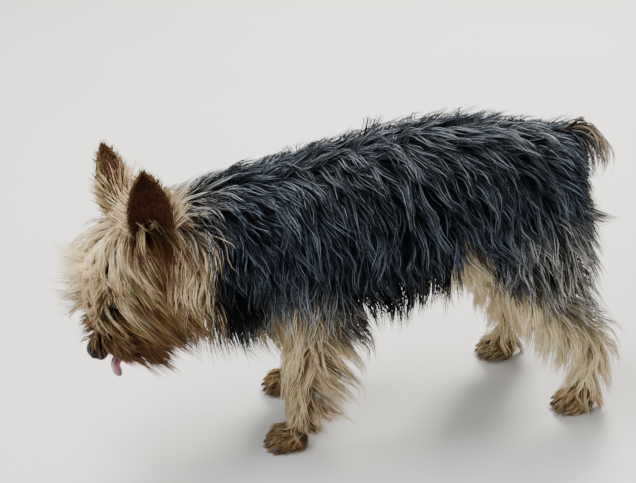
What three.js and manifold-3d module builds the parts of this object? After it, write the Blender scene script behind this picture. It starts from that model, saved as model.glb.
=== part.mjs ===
// A life-size Yorkshire terrier that stands with its head lowered, as when it drinks.
// Millimetres, +Z up. The dog faces -X, its left side is at -Y, and its four soles lie in the plane z = 0.
// Every piece has the outline that the coat gives it, out to the tips of the hair.
import * as THREE from "three";
import { LoftGeometry } from "three/addons/geometries/LoftGeometry.js";
import { mergeVertices } from "three/addons/utils/BufferGeometryUtils.js";
import Module from "manifold-3d";

const wasm = await Module();
wasm.setup();

// Driving dimensions.
const WITHERS = 231; // top of the coat over the shoulders
const LOIN = 245; // top of the coat over the loin, the highest line of the back
const CHEST_X = -152; // front of the chest
const RUMP_X = 135; // back of the buttocks
const TRUNK_HALF_WIDTH = 62;
const SKULL = new THREE.Vector3(-200, 0, 158); // middle of the skull
const HEAD_PITCH = 56; // degrees, muzzle below the horizontal
const HEAD_YAW = 15; // degrees, turned to the dog's left
const HEAD_TILT = 7; // degrees, left ear higher than the right one
const EYE_RADIUS = 7;
const EAR_HEIGHT = 50;
const EAR_HALF_WIDTH = 17.8;
const EAR_WALL = 2.6;
const FRONT_HALF_TRACK = 38; // from the middle line to a front paw
const HIND_HALF_TRACK = 44;
const PAW_HALF_WIDTH = 15;
const CLAW_LENGTH = 7.5;
const GAP = 0.35; // air between neighbouring pieces
const MIDDLE_X = -50; // middle of the whole length, which becomes the origin

// Where each paw stands: the photographed stance has the right hind leg a step ahead of the left one.
const PAWS = {
  front_left: { x: -102, side: -1 },
  front_right: { x: -88, side: 1 },
  hind_left: { x: 131, side: -1 },
  hind_right: { x: 99, side: 1 },
};

const COLOURS = {
  steel: 0x2b2f38,
  tan: 0xb59168,
  fawn: 0xc9ad84,
  ear: 0x4a2c18,
  nose: 0x141214,
  eye: 0x1c0f08,
  tongue: 0xb5606a,
  claw: 0x241d1a,
};
const ROUGHNESS = { steel: 0.45, tan: 0.5, fawn: 0.55, ear: 0.7, nose: 0.3, eye: 0.08, tongue: 0.35, claw: 0.4 };

// Solids and cuts.

function solid(geometry) {
  const bare = new THREE.BufferGeometry();
  bare.setAttribute("position", geometry.attributes.position);
  bare.setIndex(geometry.index);
  const merged = mergeVertices(bare, 1e-3);
  return new wasm.Manifold(
    new wasm.Mesh({
      numProp: 3,
      vertProperties: new Float32Array(merged.attributes.position.array),
      triVerts: new Uint32Array(merged.index.array),
    }),
  );
}

// The largest body of a cut solid, as a geometry again: slivers that a cut leaves elsewhere are dropped.
function geometryOf(cut) {
  const bodies = cut.decompose();
  const main = bodies.reduce((a, b) => (b.volume() > a.volume() ? b : a));
  const mesh = main.getMesh();
  const geometry = new THREE.BufferGeometry();
  geometry.setAttribute("position", new THREE.BufferAttribute(new Float32Array(mesh.vertProperties), 3));
  geometry.setIndex(new THREE.BufferAttribute(new Uint32Array(mesh.triVerts), 1));
  geometry.computeVertexNormals();
  return geometry;
}

// Everything on one side of the plane through `point`: the side that `normal` points to.
function beyond(point, normal) {
  const far = 1200;
  const out = new THREE.Vector3(...normal).normalize();
  const box = new THREE.BoxGeometry(far, far, far);
  box.translate(0, 0, far / 2);
  box.applyQuaternion(new THREE.Quaternion().setFromUnitVectors(new THREE.Vector3(0, 0, 1), out));
  box.translate(...point);
  return solid(box);
}

const UNDERGROUND = beyond([0, 0, 0], [0, 0, -1]);

// Parts a solid with thin cuts and returns the pieces in the order of the cuts. Each cut is a plane whose
// normal points to the pieces that follow it.
function partAt(whole, cuts) {
  const pieces = [];
  for (let i = 0; i <= cuts.length; i++) {
    let piece = whole;
    if (i > 0) {
      const { at, normal } = cuts[i - 1];
      const edge = new THREE.Vector3(...normal).setLength(GAP / 2).add(new THREE.Vector3(...at));
      piece = piece.subtract(beyond(edge.toArray(), normal.map((n) => -n)));
    }
    if (i < cuts.length) {
      const { at, normal } = cuts[i];
      const edge = new THREE.Vector3(...normal).setLength(-GAP / 2).add(new THREE.Vector3(...at));
      piece = piece.subtract(beyond(edge.toArray(), normal));
    }
    pieces.push(piece);
  }
  return pieces;
}
const levelCuts = (levels) => levels.map((z) => ({ at: [0, 0, z], normal: [0, 0, 1] }));

// A body loft. Each station has its middle `at`, and its `size`: half width across, reach towards the crown
// and reach towards the keel. Rings stand square to the line through the stations, both ends close as domes,
// and `shag` waves the outline as the ends of locks do. Stations run from front to back or from top to bottom,
// so the crown is up on the trunk and the head, and back on a leg.
function loft(stations, { rings = 12, sides = 16, dome = 0.12, grow = 0, shag = 0, locks = 5 } = {}) {
  const line = new THREE.CatmullRomCurve3(stations.map((s) => new THREE.Vector3(...s.at)));
  const sizes = new THREE.CatmullRomCurve3(stations.map((s) => new THREE.Vector3(...s.size)));
  const sections = [];
  for (let i = 0; i <= rings; i++) {
    const even = i / rings;
    const t = even - (Math.sin(2 * Math.PI * even) * dome) / 2;
    const inset = Math.min(1, t / dome, (1 - t) / dome);
    const round = Math.max(0.2, Math.sqrt(1 - (1 - inset) ** 2));
    const middle = line.getPoint(t);
    const along = line.getTangent(t);
    middle.addScaledVector(along, i === 0 ? -grow : i === rings ? grow : 0);
    const across = new THREE.Vector3(0, 1, 0).addScaledVector(along, -along.y).normalize();
    const crown = new THREE.Vector3().crossVectors(along, across);
    const size = sizes.getPoint(t);
    const ring = [];
    for (let k = 0; k < sides; k++) {
      const angle = (2 * Math.PI * k) / sides;
      const wave = 1 + shag * Math.sin(locks * angle + 2.4 * i);
      const reach = Math.sin(angle) > 0 ? size.y : size.z;
      ring.push(
        middle
          .clone()
          .addScaledVector(across, Math.cos(angle) * (size.x * round * wave + grow))
          .addScaledVector(crown, Math.sin(angle) * (reach * round * wave + grow)),
      );
    }
    sections.push(ring);
  }
  return new LoftGeometry(sections, { capStart: true, capEnd: true });
}

// Trunk and neck. They are one body, parted at thin cuts into neck, chest, barrel and rump.

const TRUNK = [
  { at: [CHEST_X, 0, 148], size: [44, 50, 54] },
  { at: [-130, 0, 156], size: [56, 61, 68] },
  { at: [-85, 0, 163], size: [TRUNK_HALF_WIDTH, WITHERS - 163, 72] },
  { at: [-40, 0, 170], size: [TRUNK_HALF_WIDTH + 1, 68, 69] },
  { at: [10, 0, 178], size: [TRUNK_HALF_WIDTH, LOIN - 178, 68] },
  { at: [60, 0, 181], size: [TRUNK_HALF_WIDTH - 2, 61, 58] },
  { at: [104, 0, 178], size: [55, 54, 52] },
  { at: [RUMP_X, 0, 172], size: [42, 46, 52] },
];
const trunk = (grow) => solid(loft(TRUNK, { rings: 19, sides: 20, dome: 0.09, grow, shag: 0.018, locks: 7 }));

const NECK = [
  { at: [-198, 0, 166], size: [33, 34, 34] },
  { at: [-174, 0, 166], size: [42, 42, 49] },
  { at: [-142, 0, 166], size: [50, 52, 63] },
  { at: [-108, 0, 168], size: [54, 60, 66] },
];
const neck = (grow) => solid(loft(NECK, { rings: 5, sides: 15, grow, shag: 0.02, locks: 6 }));
const TRUNK_CUTS = [
  { at: [-126, 0, 165], normal: [1, 0, -0.42] },
  { at: [-62, 0, 0], normal: [1, 0, 0] },
  { at: [34, 0, 0], normal: [1, 0, 0] },
];

const TAIL = [
  { at: [104, 0, 214], size: [15, 12, 13] },
  { at: [126, 0, 218], size: [16, 12, 18] },
  { at: [144, 0, 213], size: [14, 12, 20] },
  { at: [152, 0, 196], size: [9, 10, 12] },
];
const tail = (grow) => solid(loft(TAIL, { rings: 8, sides: 12, grow, shag: 0.05, locks: 4 }));

// Head, in its own frame: the origin is the middle of the skull, the muzzle points along -X and the crown is +Z.

const headGroup = new THREE.Group();
const turns = [-HEAD_TILT, -HEAD_PITCH, HEAD_YAW].map(THREE.MathUtils.degToRad);
headGroup.position.copy(SKULL);
headGroup.rotation.set(...turns, "XZY");
headGroup.updateMatrix();

const CRANIUM = [
  { at: [-46, 0, 4], size: [27, 26, 24] },
  { at: [-30, 0, 4], size: [36, 35, 36] },
  { at: [-6, 0, 3], size: [42, 40, 42] },
  { at: [20, 0, 2], size: [41, 34, 38] },
  { at: [40, 0, 0], size: [33, 28, 32] },
];
const cranium = (grow) => solid(loft(CRANIUM, { rings: 9, sides: 15, grow, dome: 0.18, shag: 0.02, locks: 7 }));

// The hair between and above the eyes stands forward over the stop.
const FORELOCK = [
  { at: [-43, 0, 42], size: [14, 7, 11] },
  { at: [-30, 0, 33], size: [23, 14, 15] },
  { at: [-2, 0, 27], size: [26, 13, 12] },
];
const forelock = (grow) => solid(loft(FORELOCK, { rings: 5, sides: 11, grow, dome: 0.2, shag: 0.05, locks: 5 }));

const MUZZLE = [
  { at: [-82, 0, -10], size: [13, 7, 10] },
  { at: [-68, 0, -6], size: [21, 13, 17] },
  { at: [-50, 0, -2], size: [26, 15, 20] },
  { at: [-28, 0, 0], size: [28, 20, 20] },
];
const muzzle = (grow) => solid(loft(MUZZLE, { rings: 6, sides: 13, grow, dome: 0.2, shag: 0.02, locks: 6 }));

const JAW = [
  { at: [-80, 0, -29], size: [10, 4, 6] },
  { at: [-58, 0, -29], size: [19, 8, 11] },
  { at: [-30, 0, -28], size: [25, 10, 13] },
];
const jaw = (grow) => solid(loft(JAW, { rings: 4, sides: 10, grow, dome: 0.2, shag: 0.03, locks: 4 }));

const NOSE_AT = [-75, 0, -0.5];
const NOSE_SIZE = [7.6, 8.8, 7.4];
const NOSTRIL_RADIUS = 1.7;
function nose(grow) {
  const ball = new THREE.SphereGeometry(1, 12, 8);
  ball.scale(...NOSE_SIZE.map((r) => r + grow));
  ball.translate(...NOSE_AT);
  return solid(ball);
}
function nostril(side) {
  const hole = new THREE.SphereGeometry(NOSTRIL_RADIUS, 6, 4);
  hole.scale(1.6, 1, 0.8);
  hole.translate(NOSE_AT[0] - NOSE_SIZE[0] * 0.85, side * NOSE_SIZE[1] * 0.45, NOSE_AT[2] - 1);
  return solid(hole);
}

const TONGUE = [
  { at: [-88.5, 0, -27.5], size: [4.8, 3, 3] },
  { at: [-84.5, 0, -22], size: [5.8, 3.6, 3.6] },
  { at: [-78, 0, -18.5], size: [6.6, 2.8, 2.8] },
  { at: [-58, 0, -22], size: [7, 1.8, 1.8] },
];
const tongue = (grow) => solid(loft(TONGUE, { rings: 8, sides: 8, grow, dome: 0.24 }));

const EYE_AT = { x: -33.5, y: 17.5, z: 13 };
function eye(side, grow) {
  const ball = new THREE.SphereGeometry(EYE_RADIUS + grow, 12, 8);
  ball.translate(EYE_AT.x, side * EYE_AT.y, EYE_AT.z);
  return solid(ball);
}

// The opening in the coat in front of an eye: a cone that widens outwards along the line of sight.
function eyeOpening(side) {
  const length = 34;
  const cone = new THREE.CylinderGeometry(15, EYE_RADIUS * 0.72, length, 10);
  cone.translate(0, length / 2, 0);
  const sight = new THREE.Vector3(-0.74, side * 0.62, 0.26).normalize();
  cone.applyQuaternion(new THREE.Quaternion().setFromUnitVectors(new THREE.Vector3(0, 1, 0), sight));
  cone.translate(EYE_AT.x, side * EYE_AT.y, EYE_AT.z);
  return solid(cone);
}

const EAR_ROOT = { x: 22.5, y: 31.5, z: 20 };
const EAR_TURN = THREE.MathUtils.degToRad(21); // opening forward of the side
const EAR_SPLAY = THREE.MathUtils.degToRad(9.5); // tip outwards
const EAR_LEAN = THREE.MathUtils.degToRad(HEAD_PITCH - 9); // backwards from the crown, nearly upright in the dog

// An ear is a cupped leaf: each section is a crescent of the ear's wall, and the cup flattens towards the tip.
function ear(side, grow) {
  const sections = [];
  const rows = 7;
  const steps = 5;
  for (let i = 0; i <= rows; i++) {
    const t = i / rows;
    const leaf = EAR_HALF_WIDTH * Math.max(0.07, (1 - t ** 2.2) ** 0.7) * (0.86 + 0.5 * t * (1 - t)) + grow;
    const cup = 9 * (1 - t) ** 0.7 + 1;
    const wall = (EAR_WALL * (1 - 0.45 * t)) / 2 + grow;
    const arc = (sign) =>
      Array.from({ length: steps + 1 }, (_, k) => {
        const across = 2 * (k / steps) - 1;
        const edge = Math.sqrt(Math.max(0.15, 1 - across * across));
        const bend = ((leaf * across) / (leaf - grow)) ** 2 - 1;
        return new THREE.Vector3(leaf * across, cup * bend + sign * wall * edge, EAR_HEIGHT * t);
      });
    sections.push([...arc(-1), ...arc(1).reverse()]);
  }
  const geometry = new LoftGeometry(sections, { capStart: true, capEnd: true });
  // Stands the ear on the back of the skull: its opening, +Y here, turns to the side and a little forward.
  const turn = new THREE.Matrix4().makeRotationZ(side * EAR_TURN + (side > 0 ? 0 : Math.PI));
  const lean = new THREE.Matrix4().makeRotationY(EAR_LEAN);
  const splay = new THREE.Matrix4().makeRotationX(-side * EAR_SPLAY);
  geometry.applyMatrix4(turn);
  geometry.applyMatrix4(splay);
  geometry.applyMatrix4(lean);
  geometry.translate(EAR_ROOT.x, side * EAR_ROOT.y, EAR_ROOT.z);
  return solid(geometry);
}

// Beard and cheek hair hang straight down from the jaws, so they are made in the dog's frame.
const BEARD = [
  { at: [-178, 0, 202], size: [37, 20, 20] },
  { at: [-180, 0, 170], size: [45, 31, 28] },
  { at: [-184, 0, 146], size: [46, 31, 30] },
  { at: [-188, -2, 120], size: [43, 31, 36] },
  { at: [-192, -4, 92], size: [36, 31, 32] },
  { at: [-194, -5, 68], size: [25, 25, 22] },
];
const beard = (grow) => solid(loft(BEARD, { rings: 8, sides: 13, grow, dome: 0.12, shag: 0.035, locks: 7 }));
const BEARD_CUTS = [112];

// Legs: one loft from the trunk to the pastern, joined to a paw, then parted at thin cuts. The crown of a leg's
// ring is its back, where the feathering hangs.

function frontLeg(paw, grow) {
  const { x, side } = paw;
  const y = side * FRONT_HALF_TRACK;
  const step = x - PAWS.front_left.x;
  return solid(
    loft(
      [
        { at: [-86, y * 0.8, 170], size: [24, 30, 26] },
        { at: [-84, y * 1.06, 132], size: [24, 36, 26] },
        { at: [-85 + step * 0.4, y * 1.04, 100], size: [21, 39, 20] },
        { at: [-88 + step * 0.7, y, 68], size: [18, 42, 15] },
        { at: [x + 13, y, 38], size: [16, 36, 13] },
        { at: [x + 7, y, 12], size: [13, 20, 12] },
      ],
      { rings: 9, sides: 12, grow, dome: 0.1, shag: 0.04, locks: 4 },
    ),
  );
}

function hindLeg(paw, grow) {
  const { x, side } = paw;
  const y = side * HIND_HALF_TRACK;
  const step = x - PAWS.hind_left.x;
  return solid(
    loft(
      [
        { at: [90, y * 0.72, 186], size: [25, 38, 34] },
        { at: [92 + step * 0.1, y * 0.96, 146], size: [25, 38, 36] },
        { at: [101 + step * 0.45, y * 1.06, 110], size: [21, 33, 34] },
        { at: [118 + step * 0.8, y * 1.03, 78], size: [18, 30, 30] },
        { at: [x + 1, y, 50], size: [15, 22, 22] },
        { at: [x + 2, y, 24], size: [12, 16, 15] },
        { at: [x + 1, y, 10], size: [12, 14, 13] },
      ],
      { rings: 11, sides: 12, grow, dome: 0.1, shag: 0.04, locks: 4 },
    ),
  );
}

// A paw is a low loft from the toes to the heel pad, with a flat sole.
function pawShape(paw, halfTrack, grow) {
  const y = paw.side * halfTrack;
  const body = loft(
    [
      { at: [paw.x - 16, y, 7], size: [PAW_HALF_WIDTH - 3, 8, 10] },
      { at: [paw.x, y, 10], size: [PAW_HALF_WIDTH, 12, 14] },
      { at: [paw.x + 15, y, 9], size: [PAW_HALF_WIDTH - 3, 11, 13] },
    ],
    { rings: 6, sides: 12, grow, dome: 0.3, shag: 0.04, locks: 3 },
  );
  return solid(body);
}

function claw(paw, halfTrack, toe) {
  const y = paw.side * halfTrack + toe * (PAW_HALF_WIDTH * 0.48);
  const front = paw.x - 17 + toe * toe * 2;
  return solid(
    loft(
      [
        { at: [front + 3 - CLAW_LENGTH, y + toe * 0.6, 2.6], size: [0.9, 1, 1] },
        { at: [front, y, 5.2], size: [1.6, 1.8, 1.8] },
        { at: [front + 5, y, 6], size: [1.6, 1.8, 1.8] },
      ],
      { rings: 3, sides: 5, dome: 0.1 },
    ),
  );
}
const TOES = [-1.4, -0.5, 0.5, 1.4];

// Assembly: each piece is cut back from the pieces it meets, so that a thin line of air parts them.

const group = new THREE.Group();
group.name = "yorkshire_terrier";

function addPiece(parent, name, cut, finish) {
  const material = new THREE.MeshStandardMaterial({
    color: COLOURS[finish],
    roughness: ROUGHNESS[finish],
    metalness: 0,
  });
  const mesh = new THREE.Mesh(geometryOf(cut), material);
  mesh.name = name;
  parent.add(mesh);
}

const inDogFrame = (shape) => solid(new THREE.BufferGeometry().copy(geometryOf(shape)).applyMatrix4(headGroup.matrix));

const headSpace = cranium(GAP).add(forelock(GAP));
const muzzleSpace = muzzle(GAP);
const jawSpace = jaw(GAP);
let headSolid = cranium(0).add(forelock(0));
let muzzleSolid = muzzle(0).subtract(headSpace);
const jawSolid = jaw(0).subtract(muzzleSpace).subtract(headSpace);
for (const side of [-1, 1]) {
  const socket = eye(side, GAP).add(eyeOpening(side));
  headSolid = headSolid.subtract(socket);
  muzzleSolid = muzzleSolid.subtract(socket);
}
muzzleSolid = muzzleSolid.subtract(nose(GAP)).subtract(tongue(GAP));
addPiece(headGroup, "head", headSolid.subtract(tongue(GAP)), "tan");
addPiece(headGroup, "muzzle", muzzleSolid, "tan");
addPiece(headGroup, "lower_jaw", jawSolid.subtract(tongue(GAP)), "tan");
addPiece(headGroup, "nose", nose(0).subtract(nostril(-1)).subtract(nostril(1)), "nose");
addPiece(headGroup, "tongue", tongue(0).subtract(headSpace), "tongue");
for (const [name, side] of [["left", -1], ["right", 1]]) {
  addPiece(headGroup, `eye_${name}`, eye(side, 0), "eye");
  addPiece(headGroup, `ear_${name}`, ear(side, 0).subtract(headSpace), "ear");
}
group.add(headGroup);

const earSpaces = ear(-1, GAP).add(ear(1, GAP));
const headParts = headSpace.add(muzzleSpace).add(jawSpace).add(nose(GAP)).add(tongue(GAP)).add(earSpaces);
const headInDog = inDogFrame(headParts);
const sightInDog = [-1, 1].map((side) => inDogFrame(eye(side, GAP).add(eyeOpening(side))));

const beardCut = sightInDog.reduce((a, b) => a.subtract(b), beard(0).subtract(headInDog));
const [lowerBeard, cheeks] = partAt(beardCut, levelCuts(BEARD_CUTS));
addPiece(group, "beard", lowerBeard, "tan");
addPiece(group, "cheeks", cheeks, "tan");

const trunkSpace = trunk(GAP);
const body = trunk(0).add(neck(0)).subtract(headInDog).subtract(beard(GAP));
const bodyPieces = partAt(body, TRUNK_CUTS);
["neck", "chest", "barrel", "rump"].forEach((name, i) => addPiece(group, name, bodyPieces[i], "steel"));
addPiece(group, "tail", tail(0).subtract(trunkSpace), "steel");

const LEG_CUTS = { front: [22, 112], hind: [20, 58, 112] };
const LEG_PIECES = { front: ["paw", "forearm", "upper_arm"], hind: ["paw", "hock", "shank", "thigh"] };
for (const [name, paw] of Object.entries(PAWS)) {
  const kind = name.split("_")[0];
  const halfTrack = kind === "front" ? FRONT_HALF_TRACK : HIND_HALF_TRACK;
  const whole = (kind === "front" ? frontLeg : hindLeg)(paw, 0).add(pawShape(paw, halfTrack, 0));
  const pieces = partAt(whole.subtract(trunkSpace).subtract(UNDERGROUND), levelCuts(LEG_CUTS[kind]));
  pieces.forEach((piece, i) => {
    const finish = piece === pieces.at(-1) ? "steel" : "tan";
    addPiece(group, `${name}_${LEG_PIECES[kind][i]}`, piece, finish);
  });
  const pawSpace = pawShape(paw, halfTrack, GAP);
  TOES.forEach((toe, i) => {
    addPiece(group, `${name}_claw_${i + 1}`, claw(paw, halfTrack, toe).subtract(pawSpace), "claw");
  });
}

group.position.x = -MIDDLE_X;
export default group;
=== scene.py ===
import math

import bpy
import numpy as np
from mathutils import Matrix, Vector
from mathutils.bvhtree import BVHTree


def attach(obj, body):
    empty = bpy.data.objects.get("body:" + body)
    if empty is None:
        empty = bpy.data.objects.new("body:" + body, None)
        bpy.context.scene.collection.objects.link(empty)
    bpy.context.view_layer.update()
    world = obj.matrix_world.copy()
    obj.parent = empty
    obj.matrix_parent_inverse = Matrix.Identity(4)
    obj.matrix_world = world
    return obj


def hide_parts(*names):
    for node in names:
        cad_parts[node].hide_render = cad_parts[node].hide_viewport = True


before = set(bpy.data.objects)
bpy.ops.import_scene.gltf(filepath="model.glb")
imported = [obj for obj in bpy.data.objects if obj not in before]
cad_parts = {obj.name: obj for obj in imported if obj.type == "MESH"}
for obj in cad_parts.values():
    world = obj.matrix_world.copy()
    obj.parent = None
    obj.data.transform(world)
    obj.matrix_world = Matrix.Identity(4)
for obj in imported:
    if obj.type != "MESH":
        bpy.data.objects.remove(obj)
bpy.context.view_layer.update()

MILLIMETRE = 0.001
NUDGE = 0.01  # The small step in t or in the angle that finds how a surface runs.
MIDDLE = np.array([-50.0, 0.0, 0.0])
SKULL = np.array([-200.0, 0.0, 158.0])
HEAD_PITCH = math.radians(56)
HEAD_YAW = math.radians(15)
HEAD_TILT = math.radians(7)
PAWS = {
    "front_left": (-102.0, -38.0),
    "front_right": (-88.0, 38.0),
    "hind_left": (131.0, -44.0),
    "hind_right": (99.0, 44.0),
}
SIDES = {"left": -1.0, "right": 1.0}


# Small mathematics.


def placed(points):
    """The dog's millimetres as metres of the frame, whose origin is under the middle of the length."""
    return (np.asarray(points, float) - MIDDLE) * MILLIMETRE


def turn(axis, angle):
    """The matrix of a turn by `angle` about axis 0, 1 or 2."""
    c, s = math.cos(angle), math.sin(angle)
    matrix = np.eye(3)
    i, j = [(1, 2), (2, 0), (0, 1)][axis]
    matrix[i, i] = matrix[j, j] = c
    matrix[i, j], matrix[j, i] = -s, s
    return matrix


HEAD_TURN = turn(0, -HEAD_TILT) @ turn(2, HEAD_YAW) @ turn(1, -HEAD_PITCH)
TO_NAPE, TO_SIDE, TO_CROWN = HEAD_TURN.T


def from_head(points):
    """Points of the head's frame, muzzle along -X and crown along +Z, put into the dog's frame."""
    return SKULL + np.asarray(points, float) @ HEAD_TURN.T


def into_head(points):
    """Points of the dog's frame seen from the head's frame."""
    return (np.asarray(points, float) - SKULL) @ HEAD_TURN


def mirrored(place, side):
    """A place of the head's frame, given for the right side, on the side that is meant."""
    return place * [1, side, 1]


def unit(vectors):
    """Vectors of length one along the given ones."""
    return vectors / np.maximum(np.linalg.norm(vectors, axis=-1, keepdims=True), 1e-9)


def ramp(value, low, high):
    """Smooth step: 0 where the value is at `low` or before it, 1 at `high` and past it."""
    t = np.clip((value - low) / (high - low), 0.0, 1.0)
    return t * t * (3 - 2 * t)


def drift(points, size, seed):
    """Smooth noise from about -1 to 1: a sum of seven plane waves about `size` long in seeded directions."""
    rng = np.random.default_rng(seed)
    waves = unit(rng.normal(size=(7, 3))) * (2 * math.pi / size) * rng.uniform(0.6, 1.4, (7, 1))
    return np.sin(points @ waves.T + rng.uniform(0, 6.3, 7)).sum(-1) / 3.0


def along_spline(rows, t):
    """Catmull-Rom curve through the rows, read at t from 0 to 1 over its whole length."""
    rows = np.asarray(rows, float)
    rows = np.vstack([2 * rows[0] - rows[1], rows, 2 * rows[-1] - rows[-2]])
    place = np.clip(t, 0, 1) * (len(rows) - 3)
    i = np.minimum(place.astype(int), len(rows) - 4)
    f = (place - i)[..., None]
    a, b, c, d = rows[i], rows[i + 1], rows[i + 2], rows[i + 3]
    return 0.5 * (2 * b + (c - a) * f + (2 * a - 5 * b + 4 * c - d) * f**2 + (3 * b - a - 3 * c + d) * f**3)


# Surfaces of the bare body, as functions of t, from front to back or from top to bottom, and of an angle.


class Form:
    """A loft: each station has its middle, half width, reach to the crown and reach to the keel."""

    def __init__(self, *stations, dome=0.12, head=False):
        self.middles = [s[:3] for s in stations]
        self.sizes = [s[3:] for s in stations]
        self.dome = dome
        self.head = head

    def surface(self, t, angle):
        """Middle plus across * cos * half width plus crown * sin * reach, shrunk to a dome near both ends."""
        t, angle = np.broadcast_arrays(t, angle)
        middle = along_spline(self.middles, t)
        ahead = along_spline(self.middles, np.minimum(t + NUDGE, 1))
        behind = along_spline(self.middles, np.maximum(t - NUDGE, 0))
        along = unit(ahead - behind)
        across = unit(np.array([0.0, 1.0, 0.0]) - along * along[..., 1:2])
        crown = np.cross(along, across)
        size = along_spline(self.sizes, t)
        inset = np.minimum(1, np.minimum(t, 1 - t) / self.dome)
        round_end = np.maximum(0.02, np.sqrt(np.maximum(0, 1 - (1 - inset) ** 2)))[..., None]
        reach = np.where(np.sin(angle) > 0, size[..., 1], size[..., 2])[..., None]
        wide = np.cos(angle)[..., None] * across * size[..., :1]
        points = middle + (wide + np.sin(angle)[..., None] * crown * reach) * round_end
        return from_head(points) if self.head else points


EAR_ROOT = np.array([22.5, 31.5, 20.0])
EAR_TURN = math.radians(21)
EAR_SPLAY = math.radians(9.5)
EAR_LEAN = HEAD_PITCH - math.radians(9)
EAR_HEIGHT = 48.5
EAR_HALF_WIDTH = 17.2
EAR_WALL = 2.0


class Ear:
    """A cupped leaf. t runs from the root to the tip; the angle runs round the leaf's thin section."""

    def __init__(self, side):
        flip = 0.0 if side > 0 else math.pi
        self.turn = turn(1, EAR_LEAN) @ turn(0, -side * EAR_SPLAY) @ turn(2, side * EAR_TURN + flip)
        self.root = mirrored(EAR_ROOT, side)

    def surface(self, t, angle):
        """Across = cos(angle). The leaf's half width narrows as (1 - t^2.2)^0.7, its cup is a parabola
        across, and sin(angle) gives the inner and the outer face of the wall. Below t = 0 it bends into the
        skull."""
        t, angle = np.broadcast_arrays(np.asarray(t, float), angle)
        across = np.cos(angle)
        high = np.clip(t, 0, 1)
        narrow = np.maximum(0.05, (1 - high**2.2) ** 0.7)
        half = EAR_HALF_WIDTH * narrow * (0.86 + 0.5 * high * (1 - high)) * (1 + 0.9 * np.minimum(t, 0))
        cup = 9 * (1 - high) ** 0.7 + 1
        wall = EAR_WALL * (1 - 0.45 * t) / 2
        thick = np.sin(angle) * wall
        ripple = 0.5 * np.sin(9 * t + 2 * across) * (1 - across**2)
        sunk = 30 * np.minimum(t, 0)
        points = np.stack([half * across, cup * (across**2 - 1) + thick + ripple + sunk, EAR_HEIGHT * t], -1)
        return from_head(points @ self.turn.T + self.root)


TRUNK = Form(
    (-142, 0, 150, 31, 38, 40),
    (-124, 0, 156, 43, 48, 52),
    (-85, 0, 163, 50, 56, 58),
    (-40, 0, 170, 51, 57, 54),
    (10, 0, 178, 50, 56, 51),
    (60, 0, 181, 47, 50, 43),
    (100, 0, 179, 43, 43, 42),
    (125, 0, 172, 32, 35, 40),
    dome=0.1,
)
NECK = Form(
    (-198, 0, 163, 25, 24, 26),
    (-176, 0, 164, 32, 35, 37),
    (-142, 0, 163, 38, 46, 48),
    (-106, 0, 165, 44, 52, 52),
)
TAIL = Form(
    (94, 0, 206, 10, 9, 10),
    (108, 0, 217, 7.5, 7, 8),
    (122, 0, 223, 5.5, 5.5, 6),
    (137, 0, 222, 4, 4, 4.5),
)
CRANIUM = Form(
    (-41, 0, 3, 18, 16, 17),
    (-27, 0, 3, 26, 24, 27),
    (-6, 0, 3, 32, 29, 32),
    (18, 0, 2, 33, 27, 31),
    (35, 0, 0, 24, 20, 25),
    dome=0.16,
    head=True,
)
MUZZLE = Form(
    (-75, 0, -5, 11, 7, 10),
    (-62, 0, -5, 14.5, 8.5, 13),
    (-45, 0, -4, 18, 11, 14),
    (-24, 0, -2, 23, 16, 18),
    dome=0.16,
    head=True,
)
JAW = Form(
    (-71, 0, -25, 8, 4, 5.5),
    (-52, 0, -25, 13, 6, 8),
    (-28, 0, -22, 19, 9, 11),
    dome=0.2,
    head=True,
)


def front_leg(x, y):
    """Shoulder, elbow, forearm and pastern down to the paw at x, y."""
    step = x + 102
    return Form(
        (-84, y * 0.72, 172, 15, 24, 22),
        (-80, y * 0.92, 132, 14, 20, 17),
        (-85 + step * 0.4, y, 100, 10.5, 12, 11),
        (-90 + step * 0.7, y, 68, 8.5, 9.5, 8.5),
        (x + 11, y, 38, 7.2, 7.8, 7.2),
        (x + 8, y, 14, 8, 8, 8),
        dome=0.08,
    )


def hind_leg(x, y):
    """Thigh, shank, hock and rear pastern down to the paw at x, y."""
    step = x - 131
    return Form(
        (90, y * 0.6, 182, 17, 28, 26),
        (90 + step * 0.1, y * 0.82, 150, 18, 30, 29),
        (94 + step * 0.4, y * 0.98, 120, 14, 23, 24),
        (110 + step * 0.75, y, 88, 9.5, 14, 14),
        (x + 6, y, 60, 7.5, 9.5, 8.5),
        (x + 6, y, 34, 7, 7.5, 7),
        (x + 3, y, 13, 8, 8, 8),
        dome=0.08,
    )


def paw_forms(x, y):
    """The pad of a paw and its four toes, each a short loft with a knuckle."""
    pad = Form(
        (x - 9, y, 6.5, 9.5, 6.5, 7.5),
        (x, y, 8, 11.5, 8, 9.5),
        (x + 13, y, 8.5, 8.5, 8, 9),
        dome=0.35,
    )
    toes = [
        Form(
            (x + 2 + abs(n), y + n * 4.2, 9.5, 3.9, 3.8, 4.5),
            (x - 8 + abs(n), y + n * 5.0, 8.4, 4.2, 3.6, 5.5),
            (x - 16 + abs(n) * 2.2, y + n * 5.4, 5.2, 3.3, 3.0, 4.6),
            dome=0.3,
        )
        for n in (-1.5, -0.5, 0.5, 1.5)
    ]
    return [pad, *toes]


LEGS = {name: (front_leg if "front" in name else hind_leg)(*spot) for name, spot in PAWS.items()}
EARS = {name: Ear(side) for name, side in SIDES.items()}


# Meshes from arrays.


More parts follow.
